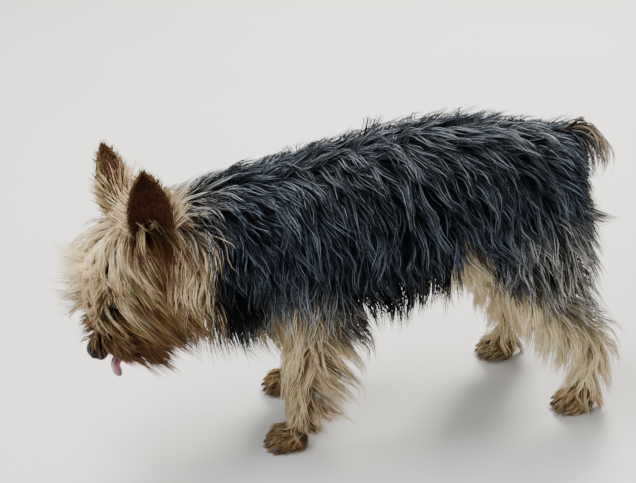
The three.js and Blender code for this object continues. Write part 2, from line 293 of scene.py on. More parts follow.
def build_mesh(name, points, quads, triangles, uv=None, attributes=None):
    """One mesh object from vertices in millimetres, index arrays of four and three, and a UV place and named
    attributes for each vertex."""
    mesh = bpy.data.meshes.new(name)
    quads = np.asarray(quads, np.int32).reshape(-1, 4)
    triangles = np.asarray(triangles, np.int32).reshape(-1, 3)
    corners = np.concatenate([quads.ravel(), triangles.ravel()])
    sizes = np.concatenate([np.full(len(quads), 4), np.full(len(triangles), 3)]).astype(np.int32)
    mesh.vertices.add(len(points))
    mesh.vertices.foreach_set("co", placed(points).astype(np.float32).ravel())
    mesh.loops.add(len(corners))
    mesh.loops.foreach_set("vertex_index", corners)
    mesh.polygons.add(len(sizes))
    mesh.polygons.foreach_set("loop_start", np.concatenate([[0], np.cumsum(sizes)[:-1]]).astype(np.int32))
    mesh.update(calc_edges=True)
    mesh.polygons.foreach_set("use_smooth", np.ones(len(sizes), bool))
    for key, values in (attributes or {}).items():
        layer = mesh.attributes.new(key, "FLOAT_VECTOR", "POINT")
        layer.data.foreach_set("vector", np.asarray(values, np.float32).ravel())
    if uv is not None:
        layer = mesh.uv_layers.new(name="OFBake")
        layer.data.foreach_set("uv", np.asarray(uv, np.float32)[corners].ravel())
    piece = bpy.data.objects.new(name, mesh)
    bpy.context.collection.objects.link(piece)
    return piece


def grid_of(rings, sides, start=0.0, end=1.0):
    """Even t and angle for a closed tube."""
    t = np.linspace(start, end, rings)[:, None]
    angle = np.linspace(0, 2 * math.pi, sides, endpoint=False)[None, :]
    return np.broadcast_arrays(t, angle)


def ring_quads(rings, sides):
    """The quads of a tube whose vertices run round each ring in turn."""
    i, k = np.meshgrid(np.arange(rings - 1) * sides, np.arange(sides), indexing="ij")
    after = (k + 1) % sides
    return np.stack([i + k, i + after, i + sides + after, i + sides + k], -1).reshape(-1, 4)


def closed_tube(points):
    """Vertices, quads and end triangles of a grid of rings, closed round each ring and capped at both ends by
    a fan from the end ring's middle."""
    rings, sides = points.shape[:2]
    around = np.arange(sides)
    following = (around + 1) % sides
    first, last = rings * sides, rings * sides + 1
    end = (rings - 1) * sides
    caps = [
        np.stack([following, around, np.full(sides, first)], -1),
        np.stack([end + around, end + following, np.full(sides, last)], -1),
    ]
    vertices = np.vstack([points.reshape(-1, 3), points[0].mean(0), points[-1].mean(0)])
    return vertices, ring_quads(rings, sides), np.vstack(caps)


def tube_of(form):
    """A form's surface as a closed tube, with its rings closer together towards both ends."""
    t, angle = grid_of(40, 40)
    return closed_tube(form.surface(t - np.sin(2 * math.pi * t) * 0.055, angle))


def joined(parts):
    """Several lists of vertices, quads, triangles and any values for each vertex, as one such list."""
    starts = np.cumsum([0] + [len(part[0]) for part in parts[:-1]])
    shifts = [0 * starts, starts, starts] + [0 * starts] * (len(parts[0]) - 3)
    return [np.vstack([part[k] + s for part, s in zip(parts, shift)]) for k, shift in enumerate(shifts)]


# The skin: every form of the body melted into one surface.

SKIN_VOXEL = 2.2
FLESH = [TRUNK, NECK, TAIL, CRANIUM, MUZZLE, JAW, *LEGS.values()]
for spot in PAWS.values():
    FLESH += paw_forms(*spot)
raw_skin = build_mesh("raw_skin", *joined([tube_of(form) for form in FLESH]))


def melt(piece):
    """The piece's mesh rebuilt from voxels and smoothed, as a new object; the piece itself is removed."""
    remesh = piece.modifiers.new("Remesh", "REMESH")
    remesh.mode = "VOXEL"
    remesh.voxel_size = SKIN_VOXEL * MILLIMETRE
    smooth = piece.modifiers.new("Smooth", "SMOOTH")
    smooth.factor = 0.5
    smooth.iterations = 5
    graph = bpy.context.evaluated_depsgraph_get()
    mesh = bpy.data.meshes.new_from_object(piece.evaluated_get(graph))
    done = bpy.data.objects.new("melted", mesh)
    bpy.context.collection.objects.link(done)
    bpy.data.objects.remove(piece)
    return done


melted = melt(raw_skin)


def coordinates(piece):
    """The piece's vertices in the dog's millimetres."""
    flat = np.empty(len(piece.data.vertices) * 3, np.float32)
    piece.data.vertices.foreach_get("co", flat)
    return flat.reshape(-1, 3).astype(float) / MILLIMETRE + MIDDLE


def corners_of(piece):
    """The piece's faces with four and with three corners, as two arrays of vertex numbers."""
    loops = np.empty(len(piece.data.loops), np.int32)
    piece.data.loops.foreach_get("vertex_index", loops)
    sizes = np.empty(len(piece.data.polygons), np.int32)
    piece.data.polygons.foreach_get("loop_total", sizes)
    first = np.concatenate([[0], np.cumsum(sizes)[:-1]])
    return [loops[first[sizes == count][:, None] + np.arange(count)] for count in (4, 3)]


# Distance to the skin, kept on a grid so that hair can be laid on it.


class Distance:
    """Signed distance in millimetres to a closed mesh, on a grid of `step`, with its slope."""

    def __init__(self, piece, step=3.0, margin=24.0, limit=30.0):
        points = coordinates(piece)
        polygons = [tuple(p.vertices) for p in piece.data.polygons]
        tree = BVHTree.FromPolygons(points.tolist(), polygons)
        self.low = points.min(0) - margin
        self.step = step
        counts = np.ceil((points.max(0) + margin - self.low) / step).astype(int) + 1
        axes = [self.low[i] + step * np.arange(counts[i]) for i in range(3)]
        grid = np.stack(np.meshgrid(*axes, indexing="ij"), -1).reshape(-1, 3)
        values = np.full(len(grid), limit)
        for index, spot in enumerate(grid.tolist()):
            near, normal, _, gap = tree.find_nearest(spot, limit)
            if near is not None:
                outside = (spot[0] - near[0]) * normal[0] + (spot[1] - near[1]) * normal[1]
                outside += (spot[2] - near[2]) * normal[2]
                values[index] = gap if outside > 0 else -gap
        self.values = values.reshape(counts)
        self.slopes = np.stack(np.gradient(self.values, step), -1)

    def read(self, table, points):
        """The table's values between its grid points, by weighing the eight corners of each cell."""
        place = (points - self.low) / self.step
        place = np.clip(place, 0, np.array(self.values.shape) - 1.001)
        cell = place.astype(int)
        part = place - cell
        total = 0.0
        for corner in np.ndindex(2, 2, 2):
            weight = np.prod(np.where(corner, part, 1 - part), axis=-1)
            found = table[tuple(np.moveaxis(cell + corner, -1, 0))]
            total = total + (weight if found.ndim == weight.ndim else weight[..., None]) * found
        return total

    def gap(self, points):
        """How far points are outside the skin, less than 0 inside it."""
        return self.read(self.values, points)

    def outward(self, points):
        """The direction straight away from the skin."""
        return unit(self.read(self.slopes, points))


flesh = Distance(melted)


# The markings, the same for the skin and for every hair that grows on it, with painted light and shade among
# them.


def in_ear(ear, local):
    """Places of the head's frame in the ear's own: across its leaf, out of its opening, and up it as a
    share of its height."""
    leaf = (local - ear.root) @ ear.turn
    return leaf[..., 0], leaf[..., 1], leaf[..., 2] / EAR_HEIGHT


def markings(points):
    """For each point of the body: how tan the coat is, how pale, and how dark, from 0 to 1. On tan, half dark
    is rust and full dark is chocolate; on steel, full dark is black. Each is the largest of its areas, and
    their edges wander. Some areas are painted light rather than the coat's own tones: pale also carries
    painted highlight on the crown, the rear of the cheeks and the top of the back, and dark also carries
    painted shade on the chest, the lower flanks, the lower cheeks, round the eyes and in the hollows of the
    ears."""
    x, y, z = points.T
    local = into_head(points)
    ahead, aside, above = local.T
    wander = drift(points, 28, 5)
    face = ramp(-ahead + 3 * wander, -38, -28) * ramp(-x + 3 * wander, 152, 164)
    elbow = 143 + np.minimum(-1.25 * (x + 97), 0.4 * (x + 97))
    fore = ramp(x, -137, -124) * (x < -30) * ramp(elbow - z + 9 * wander, -12, 12)
    fore = fore * ramp(np.abs(y), 8, 20)
    hind = (x > 20) * ramp(115 - z - 0.9 * (x - 93) + 9 * wander, -12, 12)
    inside = ramp(x, -46, 0) * ramp(26 - np.abs(y) + (132 - z) * 0.5, 0, 14) * ramp(142 - z, 0, 16)
    seat = ramp(x, 112, 120) * ramp(24 - np.abs(y), 0, 9) * ramp(204 - z, 0, 8)
    under_tail = ramp(x, 104, 116) * ramp(218 - z, 0, 6) * ramp(14 - np.abs(y), 0, 6)
    tail = 0.5 * ramp(x, 114, 124) * ramp(z, 206, 214)
    tan = np.clip(np.max([face, fore, hind, inside, seat, under_tail, tail], axis=0), 0, 1)

    # The pale cream of the crown: partly its own tone, partly painted highlight where light falls on top of
    # the head.
    crown = face * ramp(above, 11, 25) * ramp(-ahead, -30, -6) * (1 - 0.4 * ramp(-ahead, 22, 40))
    crown = crown * (1 - 0.45 * ramp(np.abs(aside), 12, 24))
    bridge = 0.6 * face * ramp(-ahead, 36, 44) * ramp(ahead, -74, -64) * ramp(10 - np.abs(aside), 0, 5)
    bridge = bridge * ramp(above, 4, 10)
    # Paler hair at the rear of the cheeks: painted highlight where light catches the edge of the head's hair.
    cheek = face * ramp(ahead - 0.3 * above, -2, 16) * ramp(12 - above, 0, 14)
    nape = ramp(-x, 150, 176) * ramp(z, 160, 196) * (1 - face)
    # A little paler silver along the top of the back: painted highlight where light falls on the topline.
    spine = 0.12 * ramp(z, 195, 226) * (1 - tan)
    thigh = ramp(x + 10 * wander, 50, 94) * ramp(200 - z + 8 * wander, 0, 40) * (1 - tan)
    arm = ramp(-x, 40, 70) * ramp(x, -134, -112) * ramp(166 - z, 0, 24) * (1 - tan)
    legs = (0.5 + 0.2 * ramp(z, 60, 100)) * fore * ramp(z, 0, 40)
    legs = np.maximum(legs, 0.88 * hind * ramp(z, 0, 36))
    rear = np.maximum(0.9 * seat, 0.8 * under_tail)
    pale = [crown, bridge, cheek, 0.8 * nape, spine, thigh, arm, legs, 0.35 * inside, rear, 0.6 * tail]

    ear_base = face * np.exp(-((ahead - 18) ** 2 + (np.abs(aside) - 32) ** 2 + (above + 2) ** 2) / 300)
    lips = face * ramp(-ahead, 34, 54) * ramp(12 - above, 0, 10)
    # The hollow inside each ear below its opening is darkened: partly the ear's own brown, partly painted
    # shade.
    cup = 0.0
    for ear in EARS.values():
        across, out, t = in_ear(ear, local)
        inner = ramp(17 - np.abs(across), 0, 5) * ramp(out, -16, -10) * ramp(8 - out, 0, 6)
        cup = np.maximum(cup, face * inner * ramp(t, -0.26, -0.04))
    # The lower cheeks are darker: partly their own deeper tan, partly painted shade under the head.
    jowl_and_shade = face * ramp(-ahead, -10, 16) * ramp(6 - above, 0, 12)
    sole = ramp(26 - z, 0, 18) * tan
    # Near black on the chest and throat: painted shade under the head and between the forelegs.
    chest = ramp(-x, 108, 132) * ramp(178 - z, 0, 24) * (1 - tan)
    # Darker hair round each eye: partly its own brown, partly painted shade of the hollow under the
    # overhanging hair.
    eyes = face * np.exp(-((ahead + 38) ** 2 + (np.abs(aside) - 20) ** 2 + (above - 12) ** 2) / 90)
    # The lower flanks are darker than the back: painted shade on the side away from the light above.
    flank = 0.9 * ramp(-np.abs(x + 24), -72, -34) * ramp(180 - z, 0, 34) * (1 - tan)
    dark = [0.5 * ear_base, 0.5 * lips, 0.45 * eyes, 0.25 * sole, 0.48 * jowl_and_shade, 0.8 * cup, chest, flank]
    return np.stack([tan, *[np.clip(np.max(areas, axis=0), 0, 1) for areas in (pale, dark)]], -1)


# The coat: locks of thin tapering tufts that lie along the body.

EYE_AT = np.array([-33.5, 17.5, 13.0])
EYE_SIGHT = unit(np.array([-0.74, 0.62, 0.26]))
EYE_GAP = unit(np.array([-0.30, 0.85, 0.42]))
EYE_RADIUS = 7.0
NOSE_AT = np.array([-75.0, 0.0, -0.5])
NOSE_SIZE = np.array([7.6, 8.8, 7.4])
GOLDEN_STRIDES = (0.7548776662, 0.5698402910)
GUIDE_STEPS = 10
SHORTEST = 0.6  # The least length of a tuft, as a share of its lock's.
STRAYS = 0.07  # The share of tufts that leave their lock.
LEFT_IN_THE_WAY = 0.04  # The share of tufts that stay over an eye, the nose or an ear's cup.
PATCH = 0.003  # The side of a tuft's UV patch.


def in_the_way(points):
    """True where a tuft would lie over an eye, the nose, the tongue or inside the cup of an ear. The hair
    parts in front of an eye along two lines: the one the eye looks along and one more to the side."""
    local = into_head(points)
    blocked = (((local - NOSE_AT - [-3, 0, 0]) / (NOSE_SIZE + [2, 0, 0.5])) ** 2).sum(-1) < 1
    blocked |= (local[..., 0] < -73) & (np.abs(local[..., 2] + 3) < 7) & (np.abs(local[..., 1]) < 14)
    blocked |= (np.abs(local - [-86, 0, -22]) < [8, 9, 8]).all(-1)
    for name, side in SIDES.items():
        sight = local - mirrored(EYE_AT, side)
        away = np.linalg.norm(sight, axis=-1)
        for gaze, wide in ((EYE_SIGHT, 5.8), (EYE_GAP, 5.0)):
            depth = sight @ mirrored(gaze, side)
            off_axis = np.sqrt(np.maximum(0, away**2 - depth**2))
            blocked |= (depth > 3) & (depth < 30) & (off_axis < wide + 0.12 * depth)
        across, out, t = in_ear(EARS[name], local)
        wide = EAR_HALF_WIDTH * np.maximum(0.05, np.clip(1 - t, 0, 1) ** 0.6)
        blocked |= (t > 0.12) & (t < 1) & (np.abs(across) < wide) & (out > -13) & (out < 9)
    return blocked


def spread_over(form, count, span, turns, seed):
    """Even places on a form: a two-number golden sequence, a little shaken, is carried through the running
    sum of the form's area, first along t and then round the ring."""
    rng = np.random.default_rng(seed)
    rings, sides = 60, 96
    t = np.linspace(*span, rings + 1)
    angle = np.linspace(*turns, sides + 1)
    grid = form.surface(t[:, None], angle[None, :])
    area = np.linalg.norm(np.cross(grid[1:, :-1] - grid[:-1, :-1], grid[:-1, 1:] - grid[:-1, :-1]), axis=-1)
    order = np.arange(count) + rng.uniform(0, 50)
    u, v = [
        (order * stride + 0.2 * rng.uniform(-1, 1, count) / math.sqrt(count)) % 1
        for stride in GOLDEN_STRIDES
    ]
    rows = np.cumsum(area.sum(1)) / area.sum()
    i = np.minimum(np.searchsorted(rows, u), rings - 1)
    before = np.concatenate([[0], rows])[i]
    place = t[i] + (u - before) / (rows[i] - before) * (t[1] - t[0])
    ring = np.cumsum(area[i], axis=1)
    ring = ring / ring[:, -1:]
    j = np.minimum((ring < v[:, None]).sum(1), sides - 1)
    ring = np.hstack([np.zeros((count, 1)), ring])
    each = np.arange(count)
    part = (v - ring[each, j]) / (ring[each, j + 1] - ring[each, j])
    return place, angle[j] + part * (angle[1] - angle[0])


def slopes(surface, t, angle):
    """How far a surface moves along t and round the angle, from one nudge before to one nudge after."""
    along = surface(t + NUDGE, angle) - surface(t - NUDGE, angle)
    around = surface(t, angle + NUDGE) - surface(t, angle - NUDGE)
    return along, around


def comb(roots, lie, length, rise, cling, hook, wave, curl, rng):
    """Guide lines of the locks. Each steps along the lie of the coat, near the skin without its part into it,
    and waves from side to side, much as its neighbours do. It is moved out to its height,
    rise * (1 - exp(-4 s)), and by the share `cling` back down to it, less so on the underside. `hook` turns
    the lock down and back under itself by that angle, and `curl` adds an outward bend, as s^2."""
    guides = [roots]
    here = roots
    phase = 2.6 * drift(roots, 46, 41) + rng.normal(0, 0.7, len(roots))
    beat = rng.uniform(0.75, 1.25, len(roots))
    bend = rng.normal(0, 0.12, (len(roots), 1))
    for step in range(1, GUIDE_STEPS + 1):
        s = step / GUIDE_STEPS
        normal = flesh.outward(here)
        way = unit(lie(here)) @ turn(1, hook * s).T + normal * curl * s**2
        near = np.clip(2 - flesh.gap(here) / 6, 0, 1)
        way = unit(way - (near * np.minimum(0, (way * normal).sum(-1)))[:, None] * normal)
        sway = wave * np.cos(beat * 2 * math.pi * s + phase)
        way = unit(way + np.cross(normal, way) * (sway[:, None] + bend))
        here = here + way * (length / GUIDE_STEPS)[:, None]
        short = rise * (1 - math.exp(-4 * s)) - flesh.gap(here)
        held = cling * np.clip(1 + 2 * normal[:, 2], 0, 1)
        here = here + flesh.outward(here) * np.where(short > 0, 0.6 * short, held * short)[:, None]
        guides.append(here)
    return np.stack(guides, 1)


def tapered(points, normals, half_width):
    """Vertices, quads and triangles of a three-sided tuft along each row of points: two edges at the half
    width and a ridge away from the skin. The half width falls as (1 - s^2)^0.6 to a single point."""
    count, rings, _ = points.shape
    rings -= 1
    along = unit(np.gradient(points, axis=1))
    across = unit(np.cross(along, normals[:, None]))
    ridge = np.cross(across, along)
    s = np.linspace(0, 1, rings + 1)[None, :-1]
    half = (half_width[:, None] * (1 - s**2) ** 0.6)[..., None]
    body = points[:, :-1]
    edges = (across[:, :-1], -across[:, :-1], ridge[:, :-1])
    corners = np.stack([body + edge * half for edge in edges], 2)
    vertices = np.concatenate([corners.reshape(count, rings * 3, 3), points[:, -1:]], 1)
    quads = ring_quads(rings, 3)
    k = np.arange(3)
    end = 3 * (rings - 1)
    tip = np.stack([end + k, end + (k + 1) % 3, np.full(3, 3 * rings)], -1)
    triangles = np.vstack([tip, [[2, 1, 0]]])
    start = (np.arange(count) * (3 * rings + 1))[:, None, None]
    return vertices.reshape(-1, 3), (quads + start).reshape(-1, 4), (triangles + start).reshape(-1, 3)


def tufts(guides, roots, normals, lock, rng, clump, frizz, segments):
    """Lines of the tufts of all locks. Each keeps its root's place beside the guide and closes on it towards
    the tip, as 1 - clump * s^1.4, has its own length, and curls a little on its own. A few stray from their
    lock."""
    count = len(lock)
    reach = rng.uniform(SHORTEST, 1, (count, 1))
    s = np.linspace(0, 1, segments + 1)[None, :]
    place = s * reach * (guides.shape[1] - 1)
    low = np.minimum(place.astype(int), guides.shape[1] - 2)
    part = (place - low)[..., None]
    line = guides[lock[:, None], low] * (1 - part) + guides[lock[:, None], low + 1] * part
    stray = (rng.random((count, 1)) < STRAYS).astype(float)
    gather = 1 - clump * (1 - stray) * s**1.4
    points = line + (roots - guides[lock, 0])[:, None] * gather[..., None]
    across = np.cross(normals, unit(points[:, -1] - points[:, 0]))
    phase = rng.uniform(0, 2 * math.pi, (count, 1))
    beat = rng.uniform(0.5, 1.3, (count, 1))
    curl = frizz * (1 + 1.5 * stray) * s * np.sin(beat * 2 * math.pi * s + phase)
    rise = (rng.normal(0, 0.5, (count, 1)) * frizz + 2.5 * stray) * s
    return points + across[:, None] * curl[..., None] + normals[:, None] * rise[..., None]


def gathered(points, normals, t, angle, lock, half_width, marks, rng):
    """Tuft lines turned into mesh arrays: vertices, quads, triangles, UV places, markings and hair values.
    Light tufts are the wide ones. Each tuft has a small UV patch at its root's place on the form's unwrap."""
    count, rings, _ = points.shape
    own = rng.random(count)
    vertices, quads, triangles = tapered(points, normals, half_width * (0.6 + 0.8 * own))
    per_tuft = 3 * (rings - 1) + 1
    ring_of = np.arange(per_tuft) // 3
    hair = np.empty((count, per_tuft, 3))
    hair[..., 0] = ring_of / (rings - 1)
    hair[..., 1] = own[:, None]
    hair[..., 2] = rng.random(lock.max() + 1)[lock][:, None]
    marks = np.repeat(marks[:, None], per_tuft, 1)
    corner = np.stack([(np.arange(per_tuft) % 3) / 2, ring_of / (rings - 1)], -1)
    uv = np.stack([t, (angle / (2 * math.pi)) % 1], -1)[:, None] + PATCH * corner[None]
    return vertices, quads, triangles, uv.reshape(-1, 2), marks.reshape(-1, 3), hair.reshape(-1, 3)


def lay_coat(
    form,
    locks,
    hairs,
    length,
    rise,
    lie,
    seed,
    span=(0.02, 0.98),
    turns=(0, 2 * math.pi),
    cling=0.3,
    hook=0.0,
    wave=0.36,
    curl=0.0,
    spread=4.4,
    clump=0.52,
    frizz=0.75,
    half_width=0.27,
    segments=5,
    sunk=1.6,
    grows=None,
):
    """The coat of one form as arrays: vertices, quads, triangles, UV places, markings and hair values. Roots
    that lie up to `sunk` under the skin are lifted to it, and deeper ones are left out. The roots of a lock
    are within `spread` of its guide."""
    rng = np.random.default_rng(seed)
    t, angle = spread_over(form, locks, span, turns, seed)
    roots = form.surface(t, angle)
    bare = flesh.gap(roots) > -sunk
    if grows is not None:
        bare &= grows(roots)
    t, angle, roots = t[bare], angle[bare], roots[bare]
    roots = roots - flesh.outward(roots) * flesh.gap(roots)[:, None]
    length, rise = [measure(roots) if callable(measure) else measure for measure in (length, rise)]
    size = length * rng.uniform(0.85, 1.15, len(roots))
    height = rise * rng.uniform(0.6, 1.4, len(roots))
    guides = comb(roots, lie, size, height, cling, hook, wave, curl, rng)
    lock = np.repeat(np.arange(len(roots)), hairs)
    wide = spread * np.sqrt(rng.random(len(lock)))
    bearing = rng.uniform(0, 2 * math.pi, len(lock))
    along, around = slopes(form.surface, t, angle)
    per_t, per_turn = [np.linalg.norm(slope, axis=-1) / (2 * NUDGE) for slope in (along, around)]
    t = np.clip(t[lock] + wide * np.cos(bearing) / per_t[lock], 0.005, 0.995)
    angle = angle[lock] + wide * np.sin(bearing) / np.maximum(per_turn[lock], 2)
    base = form.surface(t, angle)
    for _ in range(2):
        base = base - flesh.outward(base) * (flesh.gap(base) + 0.3)[:, None]
    normals = flesh.outward(base)
    points = tufts(guides, base, normals, lock, rng, clump, frizz, segments)
    for _ in range(2):
        deep = np.maximum(0, 0.25 - flesh.gap(points[:, 1:]))
        points[:, 1:] += flesh.outward(points[:, 1:]) * deep[..., None]
    points[..., 2] = np.maximum(points[..., 2], 0.4)
    clear = ~in_the_way(points[:, 1:]).any(1) | (rng.random(len(points)) < LEFT_IN_THE_WAY)
    points, normals, t, angle, lock = points[clear], normals[clear], t[clear], angle[clear], lock[clear]
    marks = markings(points[:, 0] + rng.normal(0, 2.5, (len(points), 3)))
    return gathered(points, normals, t, angle, lock, half_width, marks, rng)


# Materials.


class Signal:
    """A shader value. Arithmetic on it adds Math nodes; numbers may stand on either side."""

    def __init__(self, tree, socket):
        self.tree = tree
        self.socket = socket

    def maths(self, operation, first, second=0.0):
        return self.tree.add("ShaderNodeMath", {"operation": operation}, {0: first, 1: second})

    def __add__(self, other):
        return self.maths("ADD", self, other)

    def __sub__(self, other):
        return self.maths("SUBTRACT", self, other)

    def __rsub__(self, other):
        return self.maths("SUBTRACT", other, self)

    def __mul__(self, other):
        return self.maths("MULTIPLY", self, other)

    def __pow__(self, other):
        return self.maths("POWER", self, other)

    __radd__ = __add__
    __rmul__ = __mul__

    def clipped(self):
        """The value held between 0 and 1."""
        return self.tree.add("ShaderNodeClamp", {}, {"Value": self})


class Finish:
    """One new material and the way to add nodes to it."""

    def __init__(self, name):
        self.material = bpy.data.materials.new(name)
        self.material.use_nodes = True
        self.nodes = self.material.node_tree.nodes
        self.links = self.material.node_tree.links

    def fill(self, socket, value):
        """Links a signal to the socket, or sets the socket's own value."""
        if isinstance(value, Signal):
            self.links.new(value.socket, socket)
        else:
            socket.default_value = value

    def add(self, kind, settings, inputs, output=0):
        """A node of that type: first its settings, then its sockets' values or links. Returns one output."""
        node = self.nodes.new(kind)
        for key, value in settings.items():
            setattr(node, key, value)
        for key, value in inputs.items():
            self.fill(node.inputs[key], value)
        return Signal(self, node.outputs[output])

    def attribute(self, name):
        """The three parts of a named vector attribute."""
        vector = self.add("ShaderNodeAttribute", {"attribute_name": name}, {}, "Vector")
        return [self.add("ShaderNodeSeparateXYZ", {}, {0: vector}, part) for part in range(3)]

    def mix(self, factor, first, second):
        """From the first colour to the second as the factor goes from 0 to 1."""
        settings = {"data_type": "RGBA"}
        return self.add("ShaderNodeMix", settings, {0: factor, 6: first, 7: second}, 2)

    def noise(self, scale, detail=2.0, stretch=(1, 1, 1)):
        """Noise on Object coordinates; scale counts per metre."""
        place = self.add("ShaderNodeTexCoord", {}, {}, "Object")
        place = self.add("ShaderNodeMapping", {}, {"Vector": place, "Scale": stretch})
        return self.add("ShaderNodeTexNoise", {}, {"Vector": place, "Scale": scale, "Detail": detail}, "Fac")

    def cells(self, scale):
        """The distance to the nearest of scattered points on Object coordinates; scale counts per metre."""
        place = self.add("ShaderNodeTexCoord", {}, {}, "Object")
        return self.add("ShaderNodeTexVoronoi", {}, {"Vector": place, "Scale": scale}, "Distance")

    def bump(self, height, distance, strength):
        """A normal from a height, for the Normal socket."""
        return self.add("ShaderNodeBump", {}, {"Height": height, "Distance": distance, "Strength": strength})

    def surface(self, **sockets):
        """Sets or links the sockets of the Principled shader, named with underscores for spaces."""
        for key, value in sockets.items():
            self.fill(self.nodes["Principled BSDF"].inputs[key.replace("_", " ")], value)
        return self.material


BLUE_BLACK = (0.0009, 0.0016, 0.0034, 1)
STEEL = (0.010, 0.020, 0.040, 1)
SILVER = (0.34, 0.41, 0.51, 1)
PALE_SILVER = (0.98, 0.94, 0.83, 1)
DEEP_TAN = (0.075, 0.036, 0.013, 1)
GOLD_TAN = (0.47, 0.275, 0.105, 1)
CREAM = (1.0, 0.86, 0.55, 1)
RUST = (0.15, 0.066, 0.024, 1)
CHOCOLATE = (0.027, 0.009, 0.003, 1)


def make_hair_finish():
    """Every tuft has one tone. Steel tufts are nearly black, some steel grey and a few silver; the silver is
    partly the coat's own silver hair and partly painted highlight for the sheen of the locks, whose specular
    is kept low.
    Tan ones run from deep tan to cream, and to rust and chocolate where the markings are dark. Roots are
    darker
    than tips: partly the coat's own darker roots, mostly painted shade deep in the coat, less of it on pale
    tan."""
    finish = Finish("hair")
    tan, pale, brown = finish.attribute("marks")
    along, own, lock = finish.attribute("hair")
    # Silver: partly the coat's own silver hair, partly painted highlight for the sheen of the locks.
    silver = (own**6 * 0.8 + own**2 * lock**3 * 0.9 + pale * (own**2 * 1.5 - 0.1)).clipped()
    steel = finish.mix((own * 0.3 + lock**2 * 0.5).clipped(), BLUE_BLACK, STEEL)
    streak = finish.mix(pale, SILVER, PALE_SILVER)
    steel = finish.mix((silver * (0.3 + along * 0.7)).clipped(), steel, streak)
    glow = (own * 0.6 + lock * 0.4 + pale * 0.95 - 0.6).clipped()
    golden = finish.mix((own * 0.9 + lock * 0.3 + pale * 0.2 - 0.05).clipped(), DEEP_TAN, GOLD_TAN)
    golden = finish.mix(glow, golden, CREAM)
    rust = (brown * 2.2 - own * 0.6).clipped()
    dark = (brown * 2.0 - 1 - own * 0.25).clipped()
    golden = finish.mix(dark, finish.mix(rust, golden, RUST), CHOCOLATE)
    coat = finish.mix(tan, finish.mix((brown * (1.5 - silver * 0.8)).clipped(), steel, BLUE_BLACK), golden)
    # Tufts darken towards the root: partly the coat's own darker roots, mostly painted shade deep in the
    # coat, less on pale tan.
    dark_roots_and_shade = finish.mix((0.08 + along + pale * tan * 0.55).clipped(), (0.0, 0.0, 0.0, 1), coat)
    return finish.surface(Base_Color=dark_roots_and_shade, Roughness=0.4, Specular_IOR_Level=0.06)


def make_skin_finish():
    """The skin under the coat carries its markings in much darker tones, as painted shade of the deep coat
    where the skin shows between the tufts, with a fine grain of hair roots.
    """
    finish = Finish("skin")
    tan, pale, brown = finish.attribute("marks")
    lid, ear, inner = finish.attribute("places")
    grain = finish.noise(900, 3.0, (1, 1, 0.35))
    blotch = finish.noise(90)
    # The skin's tones are kept far darker than the coat's: painted shade of the deep coat where skin shows
    # between tufts.
    steel = finish.mix(blotch, (0.0012, 0.002, 0.0035, 1), (0.004, 0.0055, 0.009, 1))
    light = (blotch * 0.6 + pale * 0.5).clipped()
    golden = finish.mix(light, (0.09, 0.045, 0.020, 1), (0.26, 0.165, 0.085, 1))
    golden = finish.mix(brown, golden, (0.05, 0.02, 0.008, 1))
    coat = finish.mix(tan, steel, golden)
    leaf = finish.mix(inner, (0.045, 0.026, 0.018, 1), (0.045, 0.015, 0.006, 1))
    coat = finish.mix(ear, coat, leaf)
    coat = finish.mix(lid, coat, (0.012, 0.008, 0.007, 1))
    coat = finish.mix((grain - 0.35).clipped(), coat, (0.02, 0.014, 0.010, 1))
    return finish.surface(
        Base_Color=coat,
        Roughness=0.72 - lid * 0.35,
        Specular_IOR_Level=0.08,
        Normal=finish.bump(grain, 0.0004, 0.8),
    )


hair_finish = make_hair_finish()
skin_finish = make_skin_finish()


# How the coat lies in each region, as a direction for each point.


def direction(x, y, z):
    """Three arrays or numbers as one array of vectors."""
    return np.stack(np.broadcast_arrays(x, y, z), -1).astype(float)


def between(first, second, weight):
    """From the first vectors to the second as the weight goes from 0 to 1."""
    return first + (second - first) * weight[:, None]


def faces(points):
    """How far the skin faces back, forward and up at each point, from 0 to 1 for the first two."""
    normal = flesh.outward(points)
    return np.clip(normal[:, 0], 0, 1), np.clip(-normal[:, 0], 0, 1), normal[:, 2]


def lie_of_body(points):
    """Back and outward along the spine, down the flanks and a little back, hanging under the belly, in slow
    swirls."""
    x, y, z = points.T
    rear, _, upward = faces(points)
    back = 0.15 + 0.45 * ramp(x, -90, 100) + 0.3 * drift(points, 70, 21)
    flank = direction(back, 0, -1)
    spine = direction(0.35 + 0.45 * ramp(x, -70, 50), 0.75 * np.tanh(y / 10), -0.2)
    way = between(flank, spine, ramp(upward, 0.4, 1.0))
    return way + direction(0.7 * rear * ramp(x, 90, 125) * ramp(192 - z, 0, 16), 0, 0)


def lie_of_neck(points):
    """Back from the skull at the top, then down the sides of the neck to the chest."""
    x, y, _ = points.T
    upward = faces(points)[2]
    down = direction(0.25 * ramp(x, -180, -140), 0, -1)
    nape = direction(0.9, 0.45 * np.tanh(y / 12), -0.3)
    return between(down, nape, ramp(upward, 0.1, 0.9))


def lie_of_front_leg(points):
    """Down, and back off the rear edge as a fringe."""
    rear, front, _ = faces(points)
    return direction(0.05 + 0.8 * rear - 0.1 * front + 0.15 * drift(points, 40, 22), 0, -1 + 0.3 * rear)


def lie_of_hind_leg(points):
    """Down and back over the thigh, nearly straight down below the hock."""
    rear, front, _ = faces(points)
    high = ramp(points[:, 2], 50, 110)
    return direction(0.05 + 0.3 * high + 0.35 * rear - 0.15 * front + 0.2 * drift(points, 40, 23), 0, -1)


def parted(back, up, aside=0.0, reach=8, sway=0.0, size=10, seed=0):
    """A lie that goes back and up by fixed parts and off to both sides by aside * tanh(y / reach), and sways
    from side to side over a distance of `size`."""
    return lambda points: direction(
        back, aside * np.tanh(points[:, 1] / reach) + sway * drift(points, size, seed), up
    )


